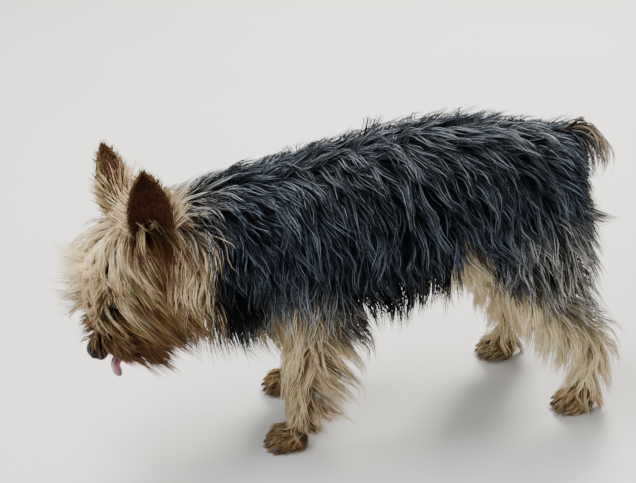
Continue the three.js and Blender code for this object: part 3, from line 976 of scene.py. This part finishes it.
lie_of_ridge = parted(1.0, -0.06, sway=0.9, size=10, seed=24)
lie_of_parting = parted(0.8, -0.05, 0.5, 9, sway=0.9, size=17, seed=28)
lie_of_seat = parted(1.0, -0.8, 0.2, 8)
lie_of_tail = parted(1.0, 0.2, 0.55, 4, sway=0.4, size=8, seed=25)
lie_of_beard = parted(0.75, -0.7, 0.15, 8)
lie_of_paw = parted(-0.75, -0.5)


def lie_of_head(points):
    """Forward over the crown and off to both sides, back from the ears, down the cheeks, and back along the
    muzzle."""
    ahead, aside, above = into_head(points).T
    side = np.tanh(aside / 5)
    crown = -TO_NAPE + side[:, None] * TO_SIDE * 0.55
    back = 0.1 + 0.28 * ramp(points[:, 2], 85, 150) + 0.5 * ramp(-ahead, 0, 30)
    cheek = direction(back, 0.1 * side, -1)
    brow = direction(0.5, 0.8 * side, -0.9)
    nape = direction(0.6, 0.3 * side, -0.65)
    muzzle = direction(0.8, 0.35 * side, -0.55)
    way = between(cheek, crown, ramp(above, 8, 22) * ramp(24 - np.abs(aside), -4, 10))
    way = between(way, brow, ramp(-ahead, 16, 32) * ramp(np.abs(aside), 4, 10) * ramp(above, 4, 12))
    way = between(way, nape, ramp(ahead, 14, 30) * ramp(above, -15, 5))
    return between(way, muzzle, ramp(-ahead, 36, 50) * ramp(np.abs(aside) + 0.6 * (8 - above), 6, 14))


def lie_of_poll(points):
    """Between the ears, where the coat parts: short hair that lies now this way and now that."""
    sway, turn_aside = [drift(points, 11, seed)[:, None] for seed in (26, 27)]
    return TO_NAPE * sway + TO_SIDE * turn_aside + TO_CROWN * 0.15


def lie_of_forelock(points):
    """A fan that springs from the forehead: forward from between the eyes, straight out further up."""
    ahead, aside, _ = into_head(points).T
    forward = 0.05 + 0.55 * ramp(-ahead, 22, 44)
    way = -TO_NAPE * forward[:, None] + TO_CROWN * 0.9
    return way + TO_SIDE * (aside / 16)[:, None]


def lie_of_bridge(points):
    """Forward and outward off the bridge of the nose and down both sides of the muzzle, a little back."""
    aside = into_head(points)[:, 1]
    side = np.tanh(aside / 4)
    over = HEAD_TURN @ [-0.9, 0, 0.3] + TO_SIDE * 0.6 * side[:, None]
    return between(over, direction(0.55, 0.3 * side, -0.75), ramp(np.abs(aside), 4, 15))


# The length of the coat and its height above the skin, in millimetres, for each root. A number stands for a
# measure that is the same everywhere.


def behind_tail(x, z):
    """1 under the tail, 0 elsewhere."""
    return ramp(x, 104, 118) * ramp(z, 176, 196)


def trunk_length(points):
    """46 mm on the flanks, 38 mm on the spine, and 26 mm in the middle of the belly and under the tail."""
    x, y, z = points.T
    middle = ramp(136 - z, 0, 16) * ramp(30 - np.abs(y), 0, 16)
    short = np.maximum(middle, behind_tail(x, z))
    return 46 - 8 * ramp(z, 200, 230) - 20 * short + 4 * drift(points, 40, 31)


def trunk_rise(points):
    """8 mm, more where the coat is ruffled behind the shoulders and over the loin, 4 mm under the tail."""
    x, _, z = points.T
    ruffled = 5 * np.exp(-(((x + 36) / 12) ** 2)) + 4 * np.exp(-(((x - 24) / 36) ** 2))
    return 8 + ruffled * ramp(z, 205, 225) - 4 * behind_tail(x, z)


def on_seat(least, added):
    """A measure that grows from `least` under the tail by `added` down to the buttocks."""
    return lambda points: least + added * ramp(190 - points[:, 2], 0, 14)


def neck_length(points):
    """36 mm on the nape, 60 mm on the throat and chest."""
    return 36 + 24 * ramp(160 - points[:, 2], 0, 40)


def neck_rise(points):
    """8 mm, and 12 mm on the throat behind the cheeks."""
    return 8 + 4 * ramp(-points[:, 0], 150, 175) * ramp(190 - points[:, 2], 0, 20)


def head_length(points):
    """42 mm on the crown and 58 mm on the cheeks."""
    return 58 - 16 * ramp(into_head(points)[:, 2], 2, 22)


def head_rise(points):
    """11 mm, 18 mm in the middle of the crown and 5 mm beside the ears."""
    ahead, aside, above = into_head(points).T
    top = ramp(above, 16, 26) * ramp(24 - np.abs(aside), 0, 10) * ramp(-ahead, -34, -16)
    beside = np.exp(-(((ahead - 18) ** 2 + (np.abs(aside) - 30) ** 2) / 260)) * ramp(above, -10, 0)
    return 11 + 7 * top - 6 * beside


def bridge_rise(points):
    """14 mm between the eyes and 6 mm behind the nose."""
    return 6 + 8 * ramp(into_head(points)[:, 0], -72, -52)


def on_leg(foot, added, top, fringe, low, high):
    """A measure that is `foot` at the toes and grows by `added` up to the height `top`. Hair that faces back
    has up to `fringe` more, from the height `low` to `high`."""

    def measure(points):
        z = points[:, 2]
        return foot + added * ramp(z, 15, top) + fringe * faces(points)[0] * ramp(z, low, high)

    return measure


def above_ground(points):
    """True for roots above the edge of the sole."""
    return points[:, 2] > 3.5


# The zones of the coat. Settings that a zone doesn't name are the ones that `lay_coat` starts with.


def over_top(half):
    """Angles within `half` of the middle of the back."""
    return math.pi / 2 - half, math.pi / 2 + half


def trunk_coat(locks, hairs, seed, **settings):
    return lay_coat(TRUNK, locks, hairs, trunk_length, trunk_rise, lie_of_body, seed, **settings)


ABOVE = (0.5, math.pi - 0.5)
BELOW = (-math.pi - 0.7, 0.7)
RIDGE = {"span": (0.05, 0.97), "turns": over_top(0.3)}
PARTING = {"span": (0.1, 0.84), "turns": over_top(0.4), "wave": 0.18, "clump": 0.35, "sunk": 6.0}
RUMP_HAIR = {"span": (0.8, 0.9995), "curl": 0.5, "sunk": 5.0}
SEAT_HAIR = {"span": (0.9, 0.9995), "cling": 0.0, "curl": 2.0, "clump": 0.75, "segments": 4}
HEAD_HAIR = {"spread": 3.4, "half_width": 0.23, "wave": 0.11, "clump": 0.34, "frizz": 0.4, "segments": 4}
POLL_HAIR = {"span": (0.62, 0.97), "turns": over_top(0.8), "sunk": 6.0, "segments": 3}
MUZZLE_HAIR = {"spread": 2.3, "wave": 0.25, "frizz": 0.5, "half_width": 0.2, "segments": 4}
FORELOCK = {"spread": 3.4, "half_width": 0.2, "span": (0.03, 0.4), "cling": 0.0, "clump": 0.25, "wave": 0.2}
BEARD_HAIR = {"spread": 3.0, "half_width": 0.22, "wave": 0.25, "clump": 0.45, "cling": 0.0, "segments": 4}
TAIL_HAIR = {"spread": 2.4, "clump": 0.72, "cling": 0.0, "hook": 2.3, "span": (0.05, 1), "sunk": 5.0}
LEG_HAIR = {"cling": 0.1, "half_width": 0.26, "clump": 0.45, "segments": 4}
PAW_HAIR = {"spread": 2.2, "half_width": 0.22, "segments": 3, "grows": above_ground}
coat_zones = {
    "shoulders": [
        trunk_coat(480, 14, 101, span=(0.02, 0.3)),
        lay_coat(TRUNK, 110, 12, 34, 7, lie_of_ridge, 112, **RIDGE),
    ],
    "ribs": [
        trunk_coat(470, 12, 109, span=(0.3, 0.56)),
        lay_coat(TRUNK, 165, 10, 27, 3.5, lie_of_parting, 115, segments=3, **PARTING),
    ],
    "loin": [trunk_coat(430, 12, 110, span=(0.56, 0.81), sunk=5.0)],
    "rump": [
        trunk_coat(390, 12, 111, **RUMP_HAIR),
        lay_coat(TRUNK, 110, 12, on_seat(14, 22), on_seat(4, 17), lie_of_seat, 113, **SEAT_HAIR),
    ],
    "neck": [lay_coat(NECK, 600, 13, neck_length, neck_rise, lie_of_neck, 102)],
    "head": [
        lay_coat(CRANIUM, 680, 14, head_length, head_rise, lie_of_head, 103, **HEAD_HAIR),
        lay_coat(CRANIUM, 50, 10, 24, 6, lie_of_poll, 114, **POLL_HAIR),
    ],
    "face": [
        lay_coat(MUZZLE, 260, 10, 26, 5, lie_of_head, 104, turns=BELOW, **MUZZLE_HAIR),
        lay_coat(MUZZLE, 200, 10, 19, bridge_rise, lie_of_bridge, 105, turns=ABOVE, **MUZZLE_HAIR),
        lay_coat(CRANIUM, 110, 14, 27, 22, lie_of_forelock, 106, turns=ABOVE, segments=4, **FORELOCK),
        lay_coat(JAW, 150, 12, 34, 5, lie_of_beard, 107, **BEARD_HAIR),
    ],
    "tail": [lay_coat(TAIL, 125, 13, 44, 8, lie_of_tail, 108, segments=8, **TAIL_HAIR)],
}
LEG_COATS = {
    "front": (290, 15, on_leg(16, 26, 70, 20, 12, 50), on_leg(3.5, 6, 90, 10, 12, 50), lie_of_front_leg),
    "hind": (335, 15, on_leg(22, 18, 70, 8, -2, -1), on_leg(6, 5, 80, 6, 8, 40), lie_of_hind_leg),
}
for number, (name, spot) in enumerate(PAWS.items()):
    pad, *toes = paw_forms(*spot)
    zones = [
        lay_coat(LEGS[name], *LEG_COATS[name.split("_")[0]], 120 + number, **LEG_HAIR),
        lay_coat(pad, 110, 9, 13, 3, lie_of_paw, 130 + number, **PAW_HAIR),
    ]
    for toe_number, toe in enumerate(toes):
        seed = 140 + 10 * number + toe_number
        zones.append(lay_coat(toe, 26, 8, 12, 1.8, lie_of_paw, seed, **PAW_HAIR))
    coat_zones[name] = zones


def ear_vectors(ear):
    """The ear's own axes in the dog's frame: across, out of the opening, and up to the tip."""
    return [HEAD_TURN @ ear.turn[:, i] for i in range(3)]


def ear_hair(side_name, count, length, seed, inner):
    """Short hair that follows the ear's own lines of equal angle from root to tip and lifts off it a bit."""
    rng = np.random.default_rng(seed)
    ear = EARS[side_name]
    t = rng.uniform(-0.34, 0.97, count)
    angle = (0.0 if inner else math.pi) + rng.uniform(0.02, 0.98, count) * math.pi
    s = np.linspace(0, 1, 3)[None, :]
    size = length * (1 - 1.5 * np.minimum(t, 0)) * rng.uniform(0.6, 1.1, count)
    upward = t[:, None] + s * size[:, None] / EAR_HEIGHT
    turned = angle[:, None] + rng.normal(0, 0.12, (count, 1)) * s
    line = ear.surface(np.minimum(upward, 0.98), turned)
    line = line + np.maximum(0, upward - 0.98)[..., None] * EAR_HEIGHT * ear_vectors(ear)[2]
    along, around = slopes(ear.surface, t, angle)
    normals = unit(np.cross(around, along))
    lift = 0.1 + rng.uniform(0.2, 1.2, (count, 1)) * s
    points = line + normals[:, None] * lift[..., None]
    points[:, 0] -= normals * 0.4
    edge = np.abs(np.cos(angle)) ** 3
    # Hair inside the ear is nearly chocolate: partly its own dark brown, partly painted shade; the edges are
    # paler.
    brown = 0.95 - 0.4 * edge if inner else 0.55 + 0.3 * ramp(t, 0.45, 0.9) - 0.3 * edge
    marks = np.stack([np.ones(count), 0.3 * edge, brown - 0.2 * ramp(-t, 0.0, 0.3)], -1)
    return gathered(points, normals, (t + 0.4) / 1.4, angle, np.arange(count) // 8, 0.22, marks, rng)


def springing(ear, t, angle, way, size, bend, face, pale, brown, half_width, lowest, rng):
    """Hair that leaves the ear at t and angle: root + way * size * s + bend * s^2, with its ridges towards
    `face`. Its UV patches start from the lowest t."""
    s = np.linspace(0, 1, 5)[None, :, None]
    points = ear.surface(t, angle)[:, None] + way[:, None] * size[:, None] * s + bend[:, None] * s**2
    normals = unit(face - way * (way @ face)[:, None])
    marks = np.stack([np.ones(len(t)), rng.uniform(*pale, len(t)), rng.uniform(*brown, len(t))], -1)
    place = (t - lowest) / (1 - lowest)
    return gathered(points, normals, place, angle, np.arange(len(t)) // 6, half_width, marks, rng)


def ear_fringe(side_name, count, length, seed):
    """Longer hair off both edges of the ear, most of it off the rear one: outward, towards the tip, and
    bending with its own weight."""
    rng = np.random.default_rng(seed)
    ear = EARS[side_name]
    across, opening, axis = ear_vectors(ear)
    t = rng.uniform(-0.1, 0.97, count)
    rear = rng.random(count) < 0.68
    outer = rear if side_name == "right" else ~rear
    angle = np.where(outer, 0.0, math.pi) + rng.normal(0, 0.25, count)
    sideways = np.where(outer, 1.0, -1.0)[:, None] * across
    size = length * rng.uniform(0.35, 1.1, (count, 1)) * (1.15 - 0.6 * np.maximum(t, 0))[:, None]
    way = unit(sideways * rng.uniform(0.2, 0.7, (count, 1)) + axis + rng.normal(0, 0.12, (count, 3)))
    fall = np.array([0, 0, -1.0]) * (0.2 * size)
    return springing(ear, t, angle, way, size, fall, opening, (0, 0.7), (0.1, 0.5), 0.2, -0.2, rng)


def ear_tuft(side_name, count, length, seed, span, inner):
    """Long pale hair that springs from one face of the ear near its root and fans up and out over its lower
    part."""
    rng = np.random.default_rng(seed)
    ear = EARS[side_name]
    across, opening, axis = ear_vectors(ear)
    t = rng.uniform(*span, count)
    angle = (0.0 if inner else math.pi) + rng.uniform(0.06, 0.94, count) * math.pi
    fan = np.cos(angle)[:, None] * across
    lift = opening * (1.0 if inner else -1.0)
    way = unit(axis + lift * rng.uniform(0.15, 0.5, (count, 1)) + fan * 0.75 + rng.normal(0, 0.1, (count, 3)))
    size = length * rng.uniform(0.5, 1.1, (count, 1))
    return springing(ear, t, angle, way, size, fan * (0.22 * size), lift, (0.5, 1), (0, 0.2), 0.22, -0.3, rng)


coat_zones["ears"] = []
for number, name in enumerate(SIDES):
    coat_zones["ears"] += [
        ear_hair(name, 1100, 6.0, 181 + number, inner=False),
        ear_hair(name, 1100, 5.0, 183 + number, inner=True),
        ear_fringe(name, 420, 12.0, 185 + number),
        ear_tuft(name, 70, 17.0, 187 + number, (-0.25, 0.0), inner=True),
        ear_tuft(name, 380, 20.0, 189 + number, (-0.28, 0.4), inner=False),
    ]


def finish_piece(piece, slot, finish, *nodes):
    """The piece rides on the one body, hides the nodes it stands for, and gets its finish. The slot is not
    used.
    """
    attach(piece, "root")
    if nodes:
        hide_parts(*nodes)
    piece.data.materials.append(finish)


def coat_piece(name, slot, zones):
    """The zones as one piece. Each zone has its own strip of the UV square."""
    for index, zone in enumerate(zones):
        zone[3][:, 0] = (np.clip(zone[3][:, 0], 0, 1) * 0.98 + 0.01 + index) / len(zones)
    vertices, quads, triangles, uv, marks, hair = joined(zones)
    piece = build_mesh(f"coat_{name}", vertices, quads, triangles, uv, {"marks": marks, "hair": hair})
    finish_piece(piece, slot, hair_finish)


# The skin piece: the melted body, two thin ears and two pairs of lids.

LID_RADIUS = 8.1
LID_SHADE = 0.9
RIM_SHADE = 0.8
MOUTH_AT = NOSE_AT + [2, 0, -9]


def eye_shell(side, polar, angle, radius):
    """Points at a radius from the middle of an eye, at a polar angle from its sight and an angle round it."""
    sight = mirrored(EYE_SIGHT, side)
    level = unit(np.cross([0.0, 0.0, 1.0], sight))
    upright = np.cross(sight, level)
    around = np.cos(angle)[..., None] * level + np.sin(angle)[..., None] * upright
    out = np.cos(polar)[..., None] * sight + np.sin(polar)[..., None] * around
    return from_head(mirrored(EYE_AT, side) + radius[..., None] * out)


def lid_surface(side, t, angle):
    """Both lids as one ring round the eye's sight. The profile runs from behind along the outside to the
    almond edge, 27 to 44 degrees from the sight, rounds it and goes back along the eyeball."""
    away = np.abs(2 * t - 1)
    edge = np.radians(27 + 17 * np.abs(np.cos(angle)) ** 1.5)
    polar = edge + (np.radians(108) - edge) * away
    inner = EYE_RADIUS + 0.12
    crease = 0.35 * np.exp(-(((away - 0.3) / 0.06) ** 2)) * (np.sin(angle) > 0)
    outer = LID_RADIUS + 0.5 * np.sin(angle) - 1.2 * np.maximum(0, away - 0.5) - crease
    rounding = np.sqrt(1 - (1 - np.clip(away / 0.16, 0, 1)) ** 2)
    middle = (inner + LID_RADIUS) / 2
    radius = middle + (np.where(t < 0.5, outer, inner) - middle) * rounding
    return eye_shell(side, polar, angle, radius)


skin_points = coordinates(melted)
skin_points[:, 2] = np.maximum(skin_points[:, 2], 0)
skin_parts = [(skin_points, *corners_of(melted))]
skin_places = [np.zeros((len(skin_points), 3))]
bpy.data.objects.remove(melted)
for name, side in SIDES.items():
    t, angle = grid_of(44, 44, -0.42, 0.99)
    skin_parts.append(closed_tube(EARS[name].surface(t, angle)))
    inner = (np.sin(angle) > 0) * 1.0
    places = np.stack([0 * inner, ramp(t, -0.4, -0.2), inner], -1).reshape(-1, 3)
    skin_places.append(np.vstack([places, [[0, 0, 0], [0, 1, 1]]]))
    lid = closed_tube(lid_surface(side, *grid_of(40, 48)))
    skin_parts.append(lid)
    skin_places.append(np.tile([[LID_SHADE, 0, 0]], (len(lid[0]), 1)))
vertices, quads, triangles = joined(skin_parts)
skin_places = np.vstack(skin_places)
dark_rims = [(mirrored(EYE_AT, side), 8.5, 12.5) for side in SIDES.values()] + [(MOUTH_AT, 12, 17)]
for place, near, far in dark_rims:
    away = np.linalg.norm(into_head(vertices) - place, axis=-1)
    skin_places[:, 0] = np.maximum(skin_places[:, 0], RIM_SHADE * ramp(-away, -far, -near))
skin_values = {"marks": markings(vertices), "places": skin_places}
skin = build_mesh("skin", vertices, quads, triangles, attributes=skin_values)
flesh_nodes = ["head", "muzzle", "lower_jaw", "ear_left", "ear_right", "beard", "cheeks"]
flesh_nodes += ["neck", "chest", "barrel", "rump", "tail"]
for name in PAWS:
    parts = ["paw", "forearm", "upper_arm"] if "front" in name else ["paw", "hock", "shank", "thigh"]
    flesh_nodes += [f"{name}_{part}" for part in parts]
finish_piece(skin, "coat_steel", skin_finish, *flesh_nodes)


# Eyes, nose, tongue and claws.


def eye_surface(side):
    """A ball from its back pole to its front, where it swells into the cornea: the radius grows by 7% times
    exp(-(angle from the sight / 0.5)^2)."""

    def surface(t, angle):
        polar = math.pi * (0.996 - 0.992 * t)
        return eye_shell(side, polar, angle, EYE_RADIUS * (0.97 + 0.07 * np.exp(-((polar / 0.5) ** 2))))

    return surface


def nose_surface(t, angle):
    """A rounded box with exponent 2.7, from its back pole to its front, with two nostrils pressed in as
    commas and a groove down its front."""
    polar = math.pi * (0.996 - 0.992 * t)
    x = -np.cos(polar)
    y = np.sin(polar) * np.cos(angle)
    z = -np.sin(polar) * np.sin(angle)
    size = (np.abs(x) ** 2.7 + np.abs(y) ** 2.7 + np.abs(z) ** 2.7) ** (-1 / 2.7)
    place = np.stack([x * size, y * size, z * size], -1) * NOSE_SIZE
    across = np.abs(place[..., 1])
    lift = place[..., 2]
    front = ramp(-place[..., 0], 1.0, 5.0)
    hole = np.exp(-((across - 4.0) ** 2 + (lift + 0.4) ** 2) / 2.6)
    comma = np.exp(-((across - 6.6) ** 2 / 5.0 + (lift + 1.4) ** 2 / 0.9))
    groove = np.exp(-((place[..., 1] / 0.8) ** 2)) * ramp(2.5 - lift, 0, 4)
    wing = 0.5 * np.exp(-((across - 5.0) ** 2 + (lift - 2.6) ** 2) / 3.0)
    depth = front * (3.0 * hole + 1.5 * comma + 0.8 * groove - wing)
    return from_head(NOSE_AT + place * (1 - depth / 9.0)[..., None])


TONGUE = Form(
    (-88.3, 0, -27.3, 4.6, 2.8, 2.8),
    (-84.5, 0, -22, 5.6, 3.4, 3.4),
    (-78, 0, -18.5, 6.4, 2.6, 2.6),
    (-58, 0, -22, 6.8, 1.7, 1.7),
    dome=0.24,
)


def tongue_surface(t, angle):
    """A thick pad that bends down at its tip, with a groove along the middle of its upper face."""
    points = TONGUE.surface(t, angle)
    groove = 0.6 * np.exp(-((points[..., 1] / 1.1) ** 2)) * (np.sin(angle) > 0)
    points[..., 2] -= groove * ramp(t, 0.3, 0.6)
    return from_head(points)


def solid_piece(name, node, slot, surface, rings, sides, finish):
    """A closed piece of a surface of t and angle, which stands for one CAD node."""
    t, angle = grid_of(rings, sides)
    vertices, quads, triangles = closed_tube(surface(t, angle))
    place = np.vstack([np.stack([t, angle, 0 * t], -1).reshape(-1, 3), [[0, 0, 0], [1, 0, 0]]])
    piece = build_mesh(name, vertices, quads, triangles, attributes={"place": place})
    finish_piece(piece, slot, finish, node)


def make_eye_finish():
    """A dark brown, mottled iris round a wide black pupil, under a clear wet surface."""
    finish = Finish("eye")
    front = finish.attribute("place")[0]
    mottle = finish.noise(2600)
    pupil = ((front - 0.895) * 60).clipped()
    iris = ((front - 0.79) * 40).clipped()
    brown = finish.mix(mottle, (0.010, 0.004, 0.0015, 1), (0.040, 0.016, 0.006, 1))
    colour = finish.mix(iris, (0.010, 0.008, 0.007, 1), brown)
    colour = finish.mix(pupil, colour, (0.002, 0.002, 0.002, 1))
    return finish.surface(Base_Color=colour, Roughness=0.08, Specular_IOR_Level=0.2, Coat_Weight=0.15)


def make_nose_finish():
    """Black leather, pebbled by fine cells, its gloss changing in soft patches."""
    finish = Finish("nose")
    cells = finish.cells(1100)
    blotch = finish.noise(300)
    colour = finish.mix(blotch, (0.002, 0.002, 0.0022, 1), (0.007, 0.006, 0.0065, 1))
    return finish.surface(
        Base_Color=colour,
        Roughness=0.36 + blotch * 0.2,
        Specular_IOR_Level=0.16,
        Normal=finish.bump(1 - cells, 0.00025, 0.7),
    )


def make_tongue_finish():
    """Mauve pink, wet, with fine raised dots."""
    finish = Finish("tongue")
    dots = finish.cells(1400)
    blotch = finish.noise(180, 3.0)
    colour = finish.mix(blotch, (0.17, 0.040, 0.052, 1), (0.28, 0.090, 0.112, 1))
    return finish.surface(
        Base_Color=colour,
        Roughness=0.28,
        Coat_Weight=0.35,
        Normal=finish.bump(1 - dots, 0.0002, 0.6),
    )


def make_claw_finish():
    """Dark horn, paler at its worn tip, with fine lines along its length."""
    finish = Finish("claw")
    along = finish.attribute("place")[0]
    lines = finish.noise(700, 2.0, (0.15, 1, 1))
    colour = finish.mix(lines, (0.020, 0.014, 0.011, 1), (0.075, 0.055, 0.042, 1))
    colour = finish.mix(((0.3 - along) * 2.5).clipped(), colour, (0.20, 0.16, 0.12, 1))
    return finish.surface(Base_Color=colour, Roughness=0.34, Normal=finish.bump(lines, 0.0002, 0.6))


eye_finish = make_eye_finish()
nose_finish = make_nose_finish()
tongue_finish = make_tongue_finish()
claw_finish = make_claw_finish()


for name, side in SIDES.items():
    solid_piece(f"eyeball_{name}", f"eye_{name}", "eye_gloss", eye_surface(side), 48, 48, eye_finish)
solid_piece("nose_leather", "nose", "nose_leather", nose_surface, 72, 96, nose_finish)
solid_piece("tongue_tip", "tongue", "tongue_flesh", tongue_surface, 40, 40, tongue_finish)
for name, (x, y) in PAWS.items():
    for number, toe in enumerate([-1.4, -0.5, 0.5, 1.4]):
        front = x - 17 + 2 * toe**2
        aside = y + toe * 7.2
        claw = Form(
            (front - 4.3, aside + 0.6 * toe, 2.7, 0.5, 0.6, 0.5),
            (front - 2.6, aside + 0.4 * toe, 4.4, 1.1, 1.2, 1.1),
            (front, aside, 5.4, 1.5, 1.7, 1.6),
            (front + 5, aside, 6, 1.6, 1.8, 1.8),
            dome=0.1,
        )
        node = f"{name}_claw_{number + 1}"
        solid_piece(f"horn_{node}", node, "claw_horn", claw.surface, 14, 12, claw_finish)


# The coat pieces.

SLOTS = {"ears": "ear_hair", **dict.fromkeys(["head", "face", "front_left", "front_right"], "coat_tan")}
for name, zones in coat_zones.items():
    coat_piece(name, SLOTS.get(name, "coat_steel"), zones)


# Floor, light and camera.


FLOOR_RADIUS = 4500.0
FLOOR_DEPTH = 20.0


def floor_surface(t, angle):
    """A round slab: from the middle of its top out to the rim, down, and back to the middle below."""
    away = 1 - np.abs(2 * t - 1)
    radius = FLOOR_RADIUS * np.maximum(0.0005, away**1.5)
    depth = -FLOOR_DEPTH * (t > 0.5)
    return np.stack([radius * np.cos(angle), -radius * np.sin(angle), depth], -1)


def make_floor_finish():
    """Pale matt board with a faint mottle."""
    finish = Finish("floor")
    mottle = finish.noise(6.0, 4.0)
    colour = finish.mix(mottle, (0.60, 0.60, 0.59, 1), (0.66, 0.66, 0.65, 1))
    return finish.surface(Base_Color=colour, Roughness=0.75 + 0.1 * mottle)


floor = build_mesh("floor", *closed_tube(floor_surface(*grid_of(40, 64))))
floor.data.materials.append(make_floor_finish())

world = bpy.data.worlds.new("studio")
world.use_nodes = True
world.node_tree.nodes["Background"].inputs["Color"].default_value = (0.88, 0.94, 1.0, 1)
world.node_tree.nodes["Background"].inputs["Strength"].default_value = 0.36
bpy.context.scene.world = world


def add_light(name, spot, size, watts, colour, aim=(0.0, 0.0, 0.12)):
    """A square area light that looks at the aim."""
    lamp = bpy.data.lights.new(name, "AREA")
    lamp.size = size
    lamp.energy = watts
    lamp.color = colour
    holder = bpy.data.objects.new(name, lamp)
    holder.location = spot
    holder.rotation_euler = (Vector(aim) - Vector(spot)).to_track_quat("-Z", "Y").to_euler()
    bpy.context.collection.objects.link(holder)


add_light("key", (-1.0, -0.8, 1.4), 0.9, 19, (1.0, 0.97, 0.93))
add_light("back", (0.7, 1.1, 1.3), 0.6, 75, (1.0, 0.96, 0.88))
add_light("top", (-0.5, 0.2, 1.6), 0.7, 42, (1.0, 0.98, 0.94))

CAMERA_AZIMUTH = math.radians(-14)
CAMERA_HEIGHT = math.radians(28.4)
CAMERA_DISTANCE = 1.010
CAMERA_LENS = 76.75
CAMERA_AIM = Vector((-0.021, 0.0, 0.154))
back_of_view = Vector(
    (
        math.sin(CAMERA_AZIMUTH) * math.cos(CAMERA_HEIGHT),
        -math.cos(CAMERA_AZIMUTH) * math.cos(CAMERA_HEIGHT),
        math.sin(CAMERA_HEIGHT),
    )
)
lens = bpy.data.cameras.new("camera")
lens.sensor_width = 36
lens.lens = CAMERA_LENS
camera = bpy.data.objects.new("camera", lens)
camera.location = CAMERA_AIM + back_of_view * CAMERA_DISTANCE
camera.rotation_euler = back_of_view.to_track_quat("Z", "Y").to_euler()
bpy.context.collection.objects.link(camera)
bpy.context.scene.camera = camera
